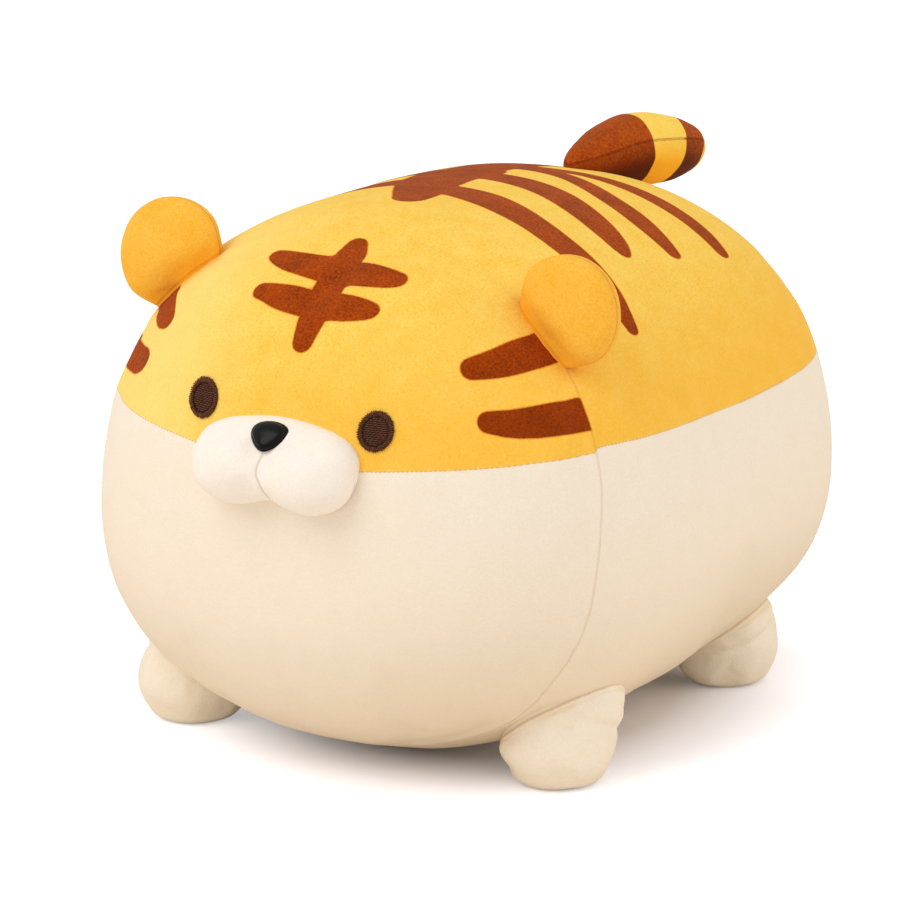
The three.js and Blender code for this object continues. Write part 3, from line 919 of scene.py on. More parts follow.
@dataclass(frozen=True)
class TigerPrint:
    """Stripes and colour lines of the print.

    A stripe's points are across, along or up, and half width. The colour lines give a
    height at each distance across the face and at each place along the flank.
    """

    spine: Stroke = Stroke(
        (
            (-12.5, -41.8, 10.2), (-14.8, -33, 12.6), (-19.5, -20, 15.3), (-27, 2, 18.6),
            (-33, 30, 21), (-33, 60, 19), (-23, 100, 13.5), (-8, 124, 9),
        )
    )
    back: tuple[Stroke, ...] = (
        Stroke((
            (-14, -11, 12.2), (0, -13, 12.2), (20, -18, 13), (40, -24.5, 12.4), (60, -31.8, 11.2),
            (80, -38.9, 10.8), (100, -43.9, 10.3), (118, -48.6, 8.8), (127.5, -51.6, 6.8),
            (135, -53.5, 4.6),
        )),
        Stroke((
            (-14, 40, 11), (0, 39, 11.2), (20, 33.8, 11.3), (40, 26.5, 11.5), (60, 16.8, 11),
            (80, 7, 10), (91, 2.2, 8.2), (96, -0.5, 6.7), (100, -2.7, 4.6),
        )),
        Stroke((
            (-14, 79, 7.5), (0, 78.3, 6.5), (20, 72.5, 6.3), (40, 63.5, 7.1), (60, 54, 7.9),
            (80, 46, 8.6), (90, 42.3, 8.3), (100, 39, 6.8), (108.2, 36.6, 5.0),
        )),
        Stroke((
            (-14, 87, 3.4), (0, 88, 3.8), (20, 88.8, 5.2), (40, 89.8, 6.4), (60, 89.3, 7.3),
            (80, 87.3, 7.6), (100, 84.8, 7.2), (112, 82.2, 5.7),
        )),
    )
    forehead: tuple[Stroke, ...] = (
        Stroke((
            (-43.5, -129.5, 5), (-38, -131.3, 6.9), (-30, -133.2, 8.4), (-20, -134.8, 9.3),
            (-10, -135.6, 10), (0, -136, 10.2), (10, -136.3, 10), (20, -136.3, 9.2),
            (30, -136, 7.7), (36, -135.1, 6),
        )),
        Stroke((
            (-39.4, -152.6, 5.4), (-33, -153.8, 6.6), (-25, -155.4, 8.2), (-15, -156.5, 9.2),
            (0, -157.3, 9.7), (10, -157.5, 9.4), (20, -157, 8.4), (28, -156.2, 6.8),
            (32, -155.6, 5.3),
        )),
        Stroke((
            (-3.4, -113.6, 6.5), (-1.8, -121, 8.6), (-1, -127, 9.1), (-0.2, -148, 9.7),
            (0.2, -163, 8.8), (0.3, -168, 7.7), (0.2, -173.4, 6.3),
        )),
    )
    near_cheek: tuple[Stroke, ...] = (
        Stroke((
            (94.6, 117.2, 6.5), (100, 118.3, 7.6), (106, 119.8, 8.8), (112, 121.8, 9.8),
            (124, 125.5, 10.5),
        ), Seen.FRONT),
        Stroke((
            (110, 91.3, 6.2), (113, 91.1, 6.8), (120, 90.4, 8.2), (130, 90.3, 9.2),
            (150, 90.4, 9.5),
        ), Seen.FRONT),
    )
    far_cheek: tuple[Stroke, ...] = (
        Stroke((
            (107.6, 115.4, 6.7), (112, 116.2, 9), (118, 117.8, 10.2), (128, 121, 10.3),
        ), Seen.FRONT),
        Stroke((
            (116.2, 92.4, 6.6), (120, 91.8, 8.2), (127, 90.4, 8.6), (150, 88, 8),
        ), Seen.FRONT),
    )
    drift: float = 40.0
    setback: tuple[float, ...] = (17.0, 13.0, 9.0, 6.0)
    face_line: tuple[tuple[float, float], ...] = (
        (0, 61.8), (49, 62.5), (71, 64.5), (87, 65.8), (111, 67.7), (135, 69.5), (160, 70.5),
    )
    flank_line: tuple[tuple[float, float], ...] = (
        (-125, 72.4), (-109, 72.2), (-70, 71.5), (-29, 69.6), (18, 67.1), (69, 65.4), (200, 63.5),
    )

    def brown_edge(self, places: Points) -> Points:
        """Distance from the nearest stripe's edge, negative inside a stripe.

        Args:
            places: Points on the body.

        Returns:
            The distances.
        """
        seam = BARREL.face_seam(places)
        best = self.spine.edge(places)
        for stroke, back in zip(self.back, self.setback):
            best = np.minimum(best, stroke.edge(places))
            best = np.minimum(best, stroke.edge(places, -1, self.drift, back))
        best = np.maximum(best, -seam)
        for stroke in self.forehead:
            best = np.minimum(best, stroke.edge(places))
        for side, cheek in ((1, self.near_cheek), (-1, self.far_cheek)):
            for stroke in cheek:
                best = np.minimum(best, np.maximum(stroke.edge(places, side), seam))
        return best

    def cream_edge(self, places: Points) -> Points:
        """Height above the colour line, negative on the cream underside.

        Args:
            places: Points on the body.

        Returns:
            The heights.
        """
        face = np.interp(np.abs(places[:, 0]), *zip(*self.face_line))
        flank = np.interp(places[:, 1], *zip(*self.flank_line))
        return places[:, 2] - np.where(BARREL.face_seam(places) < 0, face, flank)


# Sub-assemblies


@dataclass
class BodyCover(Padded):
    """The three printed panels of the body, sewn into one closed cover."""

    ears: tuple[Ear, ...]
    cuts: int = 64
    slack: float = 2.6
    ring_dip: float = 0.5
    uneven: float = 0.5
    ray_height: float = 300.0
    hover: float = 12.0
    search: float = 30.0
    seam_tone: str = "d9ad7c"
    print_: TigerPrint = TigerPrint()
    cloth: BVHTree | None = None

    def sew(self, stuffing: Stuffing) -> None:
        """Make the slack cover and hand it to the stuffing.

        Args:
            stuffing: Takes the finished cover.
        """
        rays, faces = even_rays(self.cuts, (BARREL.width, BARREL.length, self.ray_height))
        skin = radial(BARREL.field, np.zeros(3), rays, far=320.0)
        outward, _ = BARREL.normal(skin)
        rings = np.minimum(np.abs(BARREL.face_seam(skin)), np.abs(BARREL.rump_seam(skin)))
        held = smooth(6.0, 2.0, rings)
        inset = self.slack * (1 - held) + self.ring_dip * held
        lumps = self.uneven * unevenness(skin, size=70.0, seed=11)
        self.item = object_of("body_cover", skin + outward * (lumps - inset)[:, None], faces)
        stuffing.covers.append(Cover(self.item, held, cap=self.slack + 0.5, give=0.022))

    def above(self, places: Points, outward: Points, height: float) -> Points:
        """Find where sewn-on work lies on the finished cover.

        Args:
            places: Places on the plain form of the body.
            outward: Outward directions there.
            height: Distance above the cloth.

        Returns:
            The places above the cover.
        """
        if self.cloth is None:
            self.cloth = BVHTree.FromObject(self.item, bpy.context.evaluated_depsgraph_get())
        found = []
        for start, heading in zip((places + outward * self.hover + BARREL.shift) / MM, outward):
            hit = self.cloth.ray_cast(Vector(start), Vector(-heading), self.search / MM)[0]
            found.append(Vector(start - heading * (self.hover / MM)) if hit is None else hit)
        return np.array(found) * MM - BARREL.shift + outward * height

    def dress(self) -> None:
        """Smooth the cover, print it and put it on the frame."""
        places = subdivided(self.item)
        x, y, z = places.T
        height = self.print_.cream_edge(places)
        # Painted shade low on the left flank and belly; painted light on the right brow and rump
        side = 0.5 * smooth(150.0, 75.0, z) * smooth(-110.0, 120.0, x)
        under = smooth(40.0, -100.0, z) * (0.35 + 0.4 * smooth(-20.0, 120.0, x))
        brow = 0.42 * smooth(-15.0, -95.0, x) * smooth(-20.0, -120.0, y)
        face_seam, rump_seam = BARREL.face_seam(places), BARREL.rump_seam(places)
        closing = (face_seam > 0) & (rump_seam < 0) & (z < 0)
        keep_on(
            self.item,
            brown_edge=self.print_.brown_edge(places),
            cream_edge=height,
            nap=np.where(height > 0, side, under),
            lifted=brow + 0.25 * smooth(110.0, 190.0, y),
            lost=0.85 * smooth(104.0, 130.0, z),
            face_seam=face_seam,
            rump_seam=rump_seam,
            belly_seam=np.where(closing, x, NOWHERE),
            run=np.where(face_seam < 0, x, y),
            # Distance from the ears' bases, for their painted shadow on the face
            beside_ear=np.minimum.reduce([ear.beside(places) for ear in self.ears]),
        )
        LOG.info("body cover lies %.2f mm proud of its form", BARREL.distance(places).mean())
        finish = ShornPlush(
            "printed short-pile plush",
            YELLOW,
            prints=(CREAM, BROWN),
            creases=(
                Crease("face_seam", 0.9, 0.28, self.seam_tone, 0.24, fade="lost"),
                Crease("rump_seam", 0.9, 0.28, self.seam_tone, 0.24, fade="lost"),
                Crease("belly_seam", 1.3, 0.6, "c39563", 0.6),
                Crease("cream_edge", 0.55, 0.12, "c08a3c", 0.45, "run"),
                # Painted shadow of the ears on the face, beside their bases
                Crease("beside_ear", 12.0, 0.0, "d48c34", 0.45),
            ),
            # Painted shade and painted light from the attributes above
            nap="nap",
            lifted="fff0a0",
        )
        self.item.data.materials.append(finish.material())
        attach(self.item, "trunk")
        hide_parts("face_panel", "body_panel", "rump_panel", "body_filling")


@dataclass
class Muzzle(Padded):
    """White muzzle: a wide dome over two cheeks, with a fold below the nose."""

    middle: tuple[float, float, float] = (0.0, -192.0, 60.0)
    dome: tuple[float, float, float] = (46.0, 19.0, 18.0)
    dome_at: tuple[float, float, float] = (0.0, -4.0, 8.5)
    bridge: tuple[float, float, float] = (22.0, 24.0, 18.5)
    bridge_at: tuple[float, float, float] = (-2.0, -5.0, -2.0)
    cheek: tuple[float, float, float] = (25.5, 24.0, 21.5)
    cheek_at: tuple[float, float, float] = (23.8, -10.0, -1.6)
    sharpness: float = 9.0
    fold_width: float = 1.3
    fold_depth: float = 2.2
    fold_bow: float = 1.6
    fold_kick: float = 2.3
    fold_top: float = 9.5
    cuts: int = 44
    slack: float = 0.9

    def reach(self, rays: Points) -> Points:
        """Distance from the muzzle's middle to its surface in each direction.

        Args:
            rays: Unit directions.

        Returns:
            The distances.
        """
        total = np.zeros(len(rays))
        ovals = [(self.dome_at, self.dome), (self.bridge_at, self.bridge)]
        ovals += [((side * self.cheek_at[0], *self.cheek_at[1:]), self.cheek) for side in (-1, 1)]
        for centre, radii in ovals:
            scaled = rays / np.array(radii)
            start = -np.array(centre) / np.array(radii)
            square = (scaled**2).sum(axis=1)
            cross = scaled @ start
            inside = cross**2 - square * (start @ start - 1)
            out = (np.sqrt(np.maximum(inside, 0)) - cross) / square
            total += (np.where(inside < 0, 0, np.maximum(out, 0)) / self.dome[0]) ** self.sharpness
        return self.dome[0] * total ** (1 / self.sharpness)

    def fold_line(self, places: Points) -> Points:
        """Distance across from the fold, which bows out below the nose and kicks back.

        Args:
            places: Places about the muzzle's middle.

        Returns:
            The distances, signed.
        """
        down = np.clip((self.fold_top - places[:, 2]) / (self.fold_top + 20), 0, 1)
        bow = self.fold_bow * np.sin(np.minimum(2 * down, 1) * math.pi)
        return places[:, 0] + bow - self.fold_kick * smooth(0.4, 0.85, down) - 0.6 * (1 - down)

    def sew(self, stuffing: Stuffing) -> None:
        """Make the slack cover and hand it to the stuffing.

        Args:
            stuffing: Takes the finished cover.
        """
        rays, faces = even_rays(self.cuts, (1.5, 1.0, 0.9))
        reach = self.reach(rays)
        places = rays * reach[:, None]
        below = smooth(15.0, 3.0, places[:, 2]) * smooth(0.0, -8.0, places[:, 1])
        fold = dip(self.fold_line(places), self.fold_width) * below
        places = rays * (reach - self.slack * (1 - fold) - self.fold_depth * fold)[:, None]
        skin = BARREL.settle(places + np.array(self.middle), SUNK)
        held = np.maximum(smooth(2.5, 0.0, BARREL.distance(skin)), smooth(0.3, 0.9, fold))
        self.item = object_of("muzzle_plush", skin, faces)
        self.hand_over(stuffing, held, 1.3, give=0.03, dent=0.3, soften=8, stiffness=2.0)

    def dress(self) -> None:
        """Smooth the cover and put it on the frame."""
        places = subdivided(self.item)
        local = places - np.array(self.middle)
        keep_on(
            self.item,
            fold=np.where(local[:, 1] < 0, self.fold_line(local), NOWHERE),
            lost=0.9 * smooth(9.0, 14.0, local[:, 2]),
            # Painted contact shade along the lower part of the base seam
            base_seam=BARREL.distance(places) + 8.0 * smooth(-4.0, 8.0, local[:, 2]),
        )
        finish = ShornPlush(
            "white short-pile plush",
            WHITE,
            creases=(
                # The fold is a real groove; its darker tone is painted shade
                Crease("fold", 0.9, 0.3, "d2b190", 0.45, fade="lost"),
                # Painted contact shade where the muzzle's lower edge meets the face
                Crease("base_seam", 3.0, 0.0, "b98556", 0.6),
            ),
            pile_depth=0.16,
        )
        self.item.data.materials.append(finish.material())
        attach(self.item, "trunk")
        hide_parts("muzzle_cover", "muzzle_filling")


@dataclass
class Nose:
    """Moulded safety nose: a rounded triangle with its narrow end down."""

    muzzle: Muzzle
    width: float = 21.2
    height: float = 19.4
    thickness: float = 4.6
    seat_depth: float = 1.5
    tilt: float = 45.5
    yaw: float = 3.3
    taper: float = 0.34
    rim_line: float = 0.87
    rim_groove: float = 0.5
    sides: int = 56
    rings: int = 26

    def build(self) -> None:
        """Mould the nose, seat it in the muzzle and put it on the frame."""
        tilt, yaw = math.radians(self.tilt), math.radians(self.yaw)
        across = np.array([math.cos(yaw), math.sin(yaw), 0.0])
        ahead = np.array([math.sin(yaw), -math.cos(yaw), 0.0])
        facing = ahead * math.cos(tilt) + np.array([0.0, 0.0, math.sin(tilt)])
        upward = np.cross(facing, across)
        reach = self.muzzle.reach(facing[None, :])[0]
        seat = np.array(self.muzzle.middle) + facing * (reach - self.seat_depth)
        turn = np.arange(self.sides) * 2 * math.pi / self.sides
        rise = np.sin(turn)
        flat = np.cos(turn) * self.width / 2 * (1 + self.taper * rise)
        rows = [seat]
        shares = np.sin(np.linspace(math.pi / 2, 0.06, self.rings))
        heights = self.thickness * (1 - shares**2.8) ** 0.5
        heights -= self.rim_groove * dip(shares - self.rim_line, 0.035)
        levels = [(0.97, 0.0), *zip(shares, np.maximum(heights, 0.9))]
        for share, height in levels:
            for x, y in zip(flat * share, rise * self.height / 2 * share):
                rows.append(seat + across * x + upward * y + facing * height)
        rows.append(seat + facing * self.thickness)
        item = object_of("nose_moulding", np.array(rows), ringed(self.sides, len(levels)))
        subdivided(item)
        # Nearly black, with a bright point of gloss where the light falls
        finish = MouldedPlastic("gloss black ABS", "040303", roughness=0.2, level=0.15)
        item.data.materials.append(finish.material())
        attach(item, "trunk")
        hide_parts("nose")


@dataclass
class StitchTree:
    """Geometry Nodes tree that lays a raised thread along each stitch of a layout."""

    name: str = "laid stitches"
    tree: bpy.types.NodeTree | None = None

    def build(self) -> bpy.types.NodeTree:
        """Build the tree once.

        Returns:
            A tree that takes points with the attributes run and face.
        """
        if self.tree is not None:
            return self.tree
        self.tree = bpy.data.node_groups.new(self.name, "GeometryNodeTree")
        sockets = {
            "Layout": ("Geometry", None),
            "Thread Radius": ("Float", 0.00026),
            "Bulge": ("Float", 0.0005),
            "Uneven": ("Float", 0.1),
            "Seed": ("Int", 7),
            "Thread": ("Material", None),
        }
        new_socket = self.tree.interface.new_socket
        for label, (kind, default) in sockets.items():
            socket = new_socket(label, in_out="INPUT", socket_type=f"NodeSocket{kind}")
            if default is not None:
                socket.default_value = default
        new_socket("Stitches", in_out="OUTPUT", socket_type="NodeSocketGeometry")
        node = partial(add_node, self.tree)
        given = node("NodeGroupInput").node.outputs
        # The thread: a round section along an arch of unit reach
        lift = node("CombineXYZ", {0: given["Bulge"]})
        arch = {"Resolution": 7, "Start": (0, 0, -1), "Middle": lift, "End": (0, 0, 1)}
        arch = node("GeometryNodeCurveQuadraticBezier", arch)
        section = {"Resolution": 6, "Radius": given["Thread Radius"]}
        section = node("GeometryNodeCurvePrimitiveCircle", section)
        thread = {"Curve": arch, "Profile Curve": section, "Fill Caps": True}
        thread = node("GeometryNodeCurveToMesh", thread)
        # Each one lies along its run, with the arch turned away from the cloth
        attribute = partial(node, "GeometryNodeInputNamedAttribute", data_type="FLOAT_VECTOR")
        run, face = attribute({0: "run"}), attribute({0: "face"})
        align = partial(node, "FunctionNodeAlignRotationToVector")
        turned = {"Rotation": align({"Vector": run}, axis="Z"), "Vector": face}
        turned = align(turned, axis="X", pivot_axis="Z")
        # Its reach is half the run, a little more or less
        length = node("VectorMath", {0: run}, "Value", operation="LENGTH")
        stray = {"Min": -1.0, "Max": 1.0, "Seed": given["Seed"]}
        stray = node("FunctionNodeRandomValue", stray, "Value")
        change = node("Math", {0: stray, 1: given["Uneven"], 2: 1.0}, operation="MULTIPLY_ADD")
        half = node("Math", {0: length, 1: 0.5}, operation="MULTIPLY")
        reach = node("Math", {0: half, 1: change}, operation="MULTIPLY")
        size = node("CombineXYZ", {0: 1.0, 1: 1.0, 2: reach})
        laid = {"Points": given["Layout"], "Instance": thread, "Rotation": turned, "Scale": size}
        laid = node("GeometryNodeInstanceOnPoints", laid)
        real = node("GeometryNodeRealizeInstances", {0: laid})
        shade = node("GeometryNodeSetShadeSmooth", {0: real})
        dressed = node("GeometryNodeSetMaterial", {0: shade, "Material": given["Thread"]})
        node("NodeGroupOutput", {0: dressed})
        return self.tree

    def lay(
        self,
        name: str,
        spots: Points,
        runs: Points,
        normals: Points,
        thread: bpy.types.Material,
        radius: float,
        bulge: float,
        uneven: float = 0.1,
    ) -> bpy.types.Object:
        """Lay one set of stitches.

        Args:
            name: Name of the piece.
            spots: Middle of each stitch.
            runs: Direction and length of each stitch.
            normals: Outward direction at each stitch.
            thread: The thread's material.
            radius: Thread radius.
            bulge: How far the middle of a stitch stands proud.
            uneven: Share by which stitch lengths vary.

        Returns:
            The stitches as one plain mesh.
        """
        item = object_of(name, spots, [])
        for label, rows in (("run", runs / MM), ("face", normals)):
            layer = item.data.attributes.new(label, "FLOAT_VECTOR", "POINT")
            layer.data.foreach_set("vector", rows.astype(np.float32).ravel())
        modifier = item.modifiers.new("stitches", "NODES")
        modifier.node_group = self.build()
        values = {
            "Thread Radius": radius / MM,
            "Bulge": 2 * bulge / MM,
            "Uneven": uneven,
            "Seed": 7,
            "Thread": thread,
        }
        for socket in self.build().interface.items_tree:
            if socket.in_out == "INPUT" and socket.name in values:
                modifier[socket.identifier] = values[socket.name]
        freeze(item)
        return item


@dataclass
class Eye:
    """Embroidered eye: a satin-stitched oval rim round a filled middle."""

    side: int
    body: BodyCover
    stitches: StitchTree
    thread: bpy.types.Material
    shade: bpy.types.Material
    spacing: float = 110.0
    rise: float = 85.5
    width: float = 20.4
    height: float = 21.4
    rim_width: float = 2.7
    rim_pitch: float = 1.05
    rim_thread: float = 0.42
    row_pitch: float = 1.05
    fill_thread: float = 0.34
    stitch_length: float = 2.3
    shortest: float = 0.6
    rim_gap: float = 0.8
    brick_step: float = 0.37
    row_lean: float = 0.22
    slant: float = 0.12
    pad_margin: float = 0.35
    pad_bottom: float = -1.2
    pad_top: float = 0.45
    askew: float = 1.45

    @property
    def label(self) -> str:
        """Which eye this is, in the node names' words."""
        return side_name(self.side)

    def on_face(self, flat: Points, height: float) -> tuple[Points, Points]:
        """Places above the face under flat coordinates about the eye's middle.

        Args:
            flat: Across and up from the eye's middle.
            height: Distance above the cloth.

        Returns:
            The places and the outward directions there.
        """
        across = self.side * self.spacing / 2 + flat[:, 0]
        rise = self.rise - self.side * self.askew
        skin = BARREL.on_surface(across, rise + flat[:, 1], Seen.FRONT)
        outward, _ = BARREL.normal(skin)
        return self.body.above(skin, outward, height), outward

    def stitch_rows(self, flat: Points, ends: Points, height: float) -> tuple[Points, ...]:
        """Middles, runs and normals of stitches between flat start and end points.

        Args:
            flat: Start of each stitch.
            ends: End of each stitch.
            height: Distance above the cloth.

        Returns:
            Middles, runs and outward directions.
        """
        start, _ = self.on_face(flat, height)
        end, _ = self.on_face(ends, height)
        middle, outward = self.on_face((flat + ends) / 2, height)
        return middle, end - start, outward

    def rim(self) -> tuple[Points, ...]:
        """Satin stitches across the rim, slightly slanted.

        Returns:
            Middles, runs and outward directions of the stitches.
        """
        outer = np.array([self.width, self.height]) / 2
        inner = outer - self.rim_width
        around = math.pi * (outer + inner).mean()
        count = int(around / self.rim_pitch)
        turn = np.arange(count) * 2 * math.pi / count
        ahead = turn + self.slant
        low = np.stack([np.cos(turn), np.sin(turn)], axis=1) * inner
        high = np.stack([np.cos(ahead), np.sin(ahead)], axis=1) * outer
        return self.stitch_rows(low, high, height=0.8)

    def fill(self) -> tuple[Points, ...]:
        """Short stitches that fill the middle in level rows, offset like bricks.

        Returns:
            Middles, runs and outward directions of the stitches.
        """
        oval = np.array([self.width, self.height]) / 2 - self.rim_width - self.rim_gap
        starts, ends = [], []
        rows = int(2 * oval[1] / self.row_pitch)
        for row in range(rows):
            y = -oval[1] + (row + 0.5) * 2 * oval[1] / rows
            half = oval[0] * math.sqrt(max(0.0, 1 - (y / oval[1]) ** 2))
            left = -half - (row * self.brick_step % 1) * self.stitch_length
            while left < half:
                low, high = max(left, -half), min(left + self.stitch_length, half)
                if high - low > self.shortest:
                    starts.append((low, y - self.row_lean))
                    ends.append((high, y + self.row_lean))
                left += self.stitch_length
        return self.stitch_rows(np.array(starts), np.array(ends), height=0.5)

    def backing(self) -> bpy.types.Object:
        """Underlay below the stitches: a thin oval pad that lies on the face, its
        near-black colour painted shade between the stitches.

        Returns:
            The pad.
        """
        sides, rings = 48, 7
        turn = np.arange(sides) * 2 * math.pi / sides
        oval = np.array([self.width, self.height]) / 2 - self.pad_margin
        rows: list[Points] = []
        profile = [(ring / rings, self.pad_bottom) for ring in range(rings + 1)]
        profile += [(share, self.pad_top) for share, _ in profile[::-1]]
        for share, height in profile:
            spin = turn if share > 0 else turn[:1]
            flat = np.stack([np.cos(spin), np.sin(spin)], axis=1) * oval * share
            rows.append(self.on_face(flat, height)[0])
        faces = [face[::-1] for face in ringed(sides, len(profile) - 2)]
        item = object_of(f"eye_{self.label}_underlay", np.concatenate(rows), faces)
        mesh = bmesh.new()
        mesh.from_mesh(item.data)
        bmesh.ops.recalc_face_normals(mesh, faces=mesh.faces[:])
        mesh.to_mesh(item.data)
        mesh.free()
        item.data.materials.append(self.shade)
        return item

    def build(self) -> None:
        """Embroider the eye and put it on the frame."""
        name, rows = f"eye_{self.label}_satin_rim", self.rim()
        rim = self.stitches.lay(name, *rows, self.thread, self.rim_thread, bulge=0.75, uneven=0.22)
        name, rows = f"eye_{self.label}_fill", self.fill()
        middle = self.stitches.lay(name, *rows, self.thread, self.fill_thread, bulge=0.3)
        pad = self.backing()
        for item in (rim, middle, pad):
            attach(item, "trunk")
        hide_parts(f"eye_{self.label}")


@dataclass
class Ear(Padded):
    """Round ear: a front and a back piece joined by a rim seam, sewn into the face seam."""

    side: int
    askew: tuple[float, float, float] = (0.0, 0.0, 0.0)
    radius: float = 32.3
    taper: float = 0.09
    half_thickness: float = 13.0
    rise: float = 17.5
    fullness: float = 2.2
    pinch: float = 0.6
    back_share: float = 1.2
    base_half: float = 22.0
    inset_reach: float = 30.0
    bend: float = 16.0
    rim_dip: float = 0.8
    cuts: int = 34
    slack: float = 0.8

    @property
    def label(self) -> str:
        """Which ear this is, in the node names' words."""
        return side_name(self.side)

    def frame(self) -> tuple[Points, Points]:
        """Base point, and the ear's own axes along the seam, outwards and forwards as rows.

        Returns:
            The point and the three axes.
        """
        joint = joint_named(f"ear_{self.label}_fold")
        base = np.array(joint["pos_m"]) * MM - BARREL.shift
        base += np.array(self.askew)
        along = np.array(joint["axis"]) * self.side
        forward = np.array([0.0, -1.0, BARREL.seam_lean])
        forward /= np.linalg.norm(forward)
        outward = np.cross(forward, along) * self.side
        along = np.cross(outward, forward)
        return base, np.array([along, outward, forward])

    def beside(self, places: Points) -> Points:
        """Distance of each place on the body from the ear's base.

        Args:
            places: Points on the body.

        Returns:
            The distances, up to the one that stands for nowhere.
        """
        base, axes = self.frame()
        local = (places - base) @ axes.T
        beyond = np.maximum(np.abs(local[:, 0]) - self.base_half, 0)
        return np.minimum(NOWHERE, np.hypot(np.hypot(beyond, local[:, 1]), local[:, 2]))

    def field(self, local: Points) -> Points:
        """Negative inside the pillow, in the ear's own axes.

        Args:
            local: Places in the ear's own axes.

        Returns:
            A number for each place.
        """
        across = local[:, 0] * (1 + self.taper * smooth(22.0, -4.0, local[:, 1]))
        out = np.hypot(across, local[:, 1] - self.rise) / self.radius
        front = 1 - self.pinch * smooth(17.0, -3.0, local[:, 1])
        near = np.where(local[:, 2] > 0, front, self.back_share)
        deep = np.abs(local[:, 2]) / (self.half_thickness * near)
        return out**self.fullness + deep**self.fullness - 1

    def sew(self, stuffing: Stuffing) -> None:
        """Make the slack cover and hand it to the stuffing.

        Args:
            stuffing: Takes the finished cover.
        """
        rays, faces = even_rays(self.cuts, (self.radius, self.radius, self.half_thickness))
        centre = np.array([0.0, self.rise, 0.0])
        local = radial(self.field, centre, rays, far=80.0)
        rim = smooth(2.4, 0.4, np.abs(local[:, 2]))
        inset = (self.slack * (1 - rim) + self.rim_dip * rim) / self.inset_reach
        local = centre + (local - centre) * (1 - inset)[:, None]
        local[:, 2] += 0.5 * unevenness(local, size=26.0, seed=5)
        base, axes = self.frame()
        skin = BARREL.settle(base + local @ axes, SUNK)
        held = np.maximum(rim, smooth(1.5, 0.0, BARREL.distance(skin)))
        self.item = object_of(f"ear_{self.label}_plush", skin, faces)
        self.hand_over(stuffing, held, 1.4, give=0.025, dent=0.3, soften=16, stiffness=3.0)

    def dress(self) -> None:
        """Smooth the cover and put it on the frame."""
        places = subdivided(self.item)
        base, axes = self.frame()
        local = (places - base) @ axes.T
        keep_on(
            self.item,
            rim_seam=local[:, 2],
            base_seam=BARREL.distance(places),
            # Painted shade: deeper orange towards the ear's base
            nap=0.7 * smooth(20.0, -4.0, local[:, 1]),
        )
        finish = ShornPlush(
            f"yellow short-pile plush, {self.label} ear",
            EAR_YELLOW,
            creases=(
                Crease("rim_seam", 0.9, 0.4, "dca24c", 0.35),
                # Base seam, darkened as painted shade in the join
                Crease("base_seam", 1.6, 0.3, "e0a852", 0.3),
            ),
            nap="nap",
        )
        self.item.data.materials.append(finish.material())
        body = f"ear_{self.label}"
        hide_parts(f"{body}_front", f"{body}_back", f"{body}_filling")
        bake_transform(self.item)


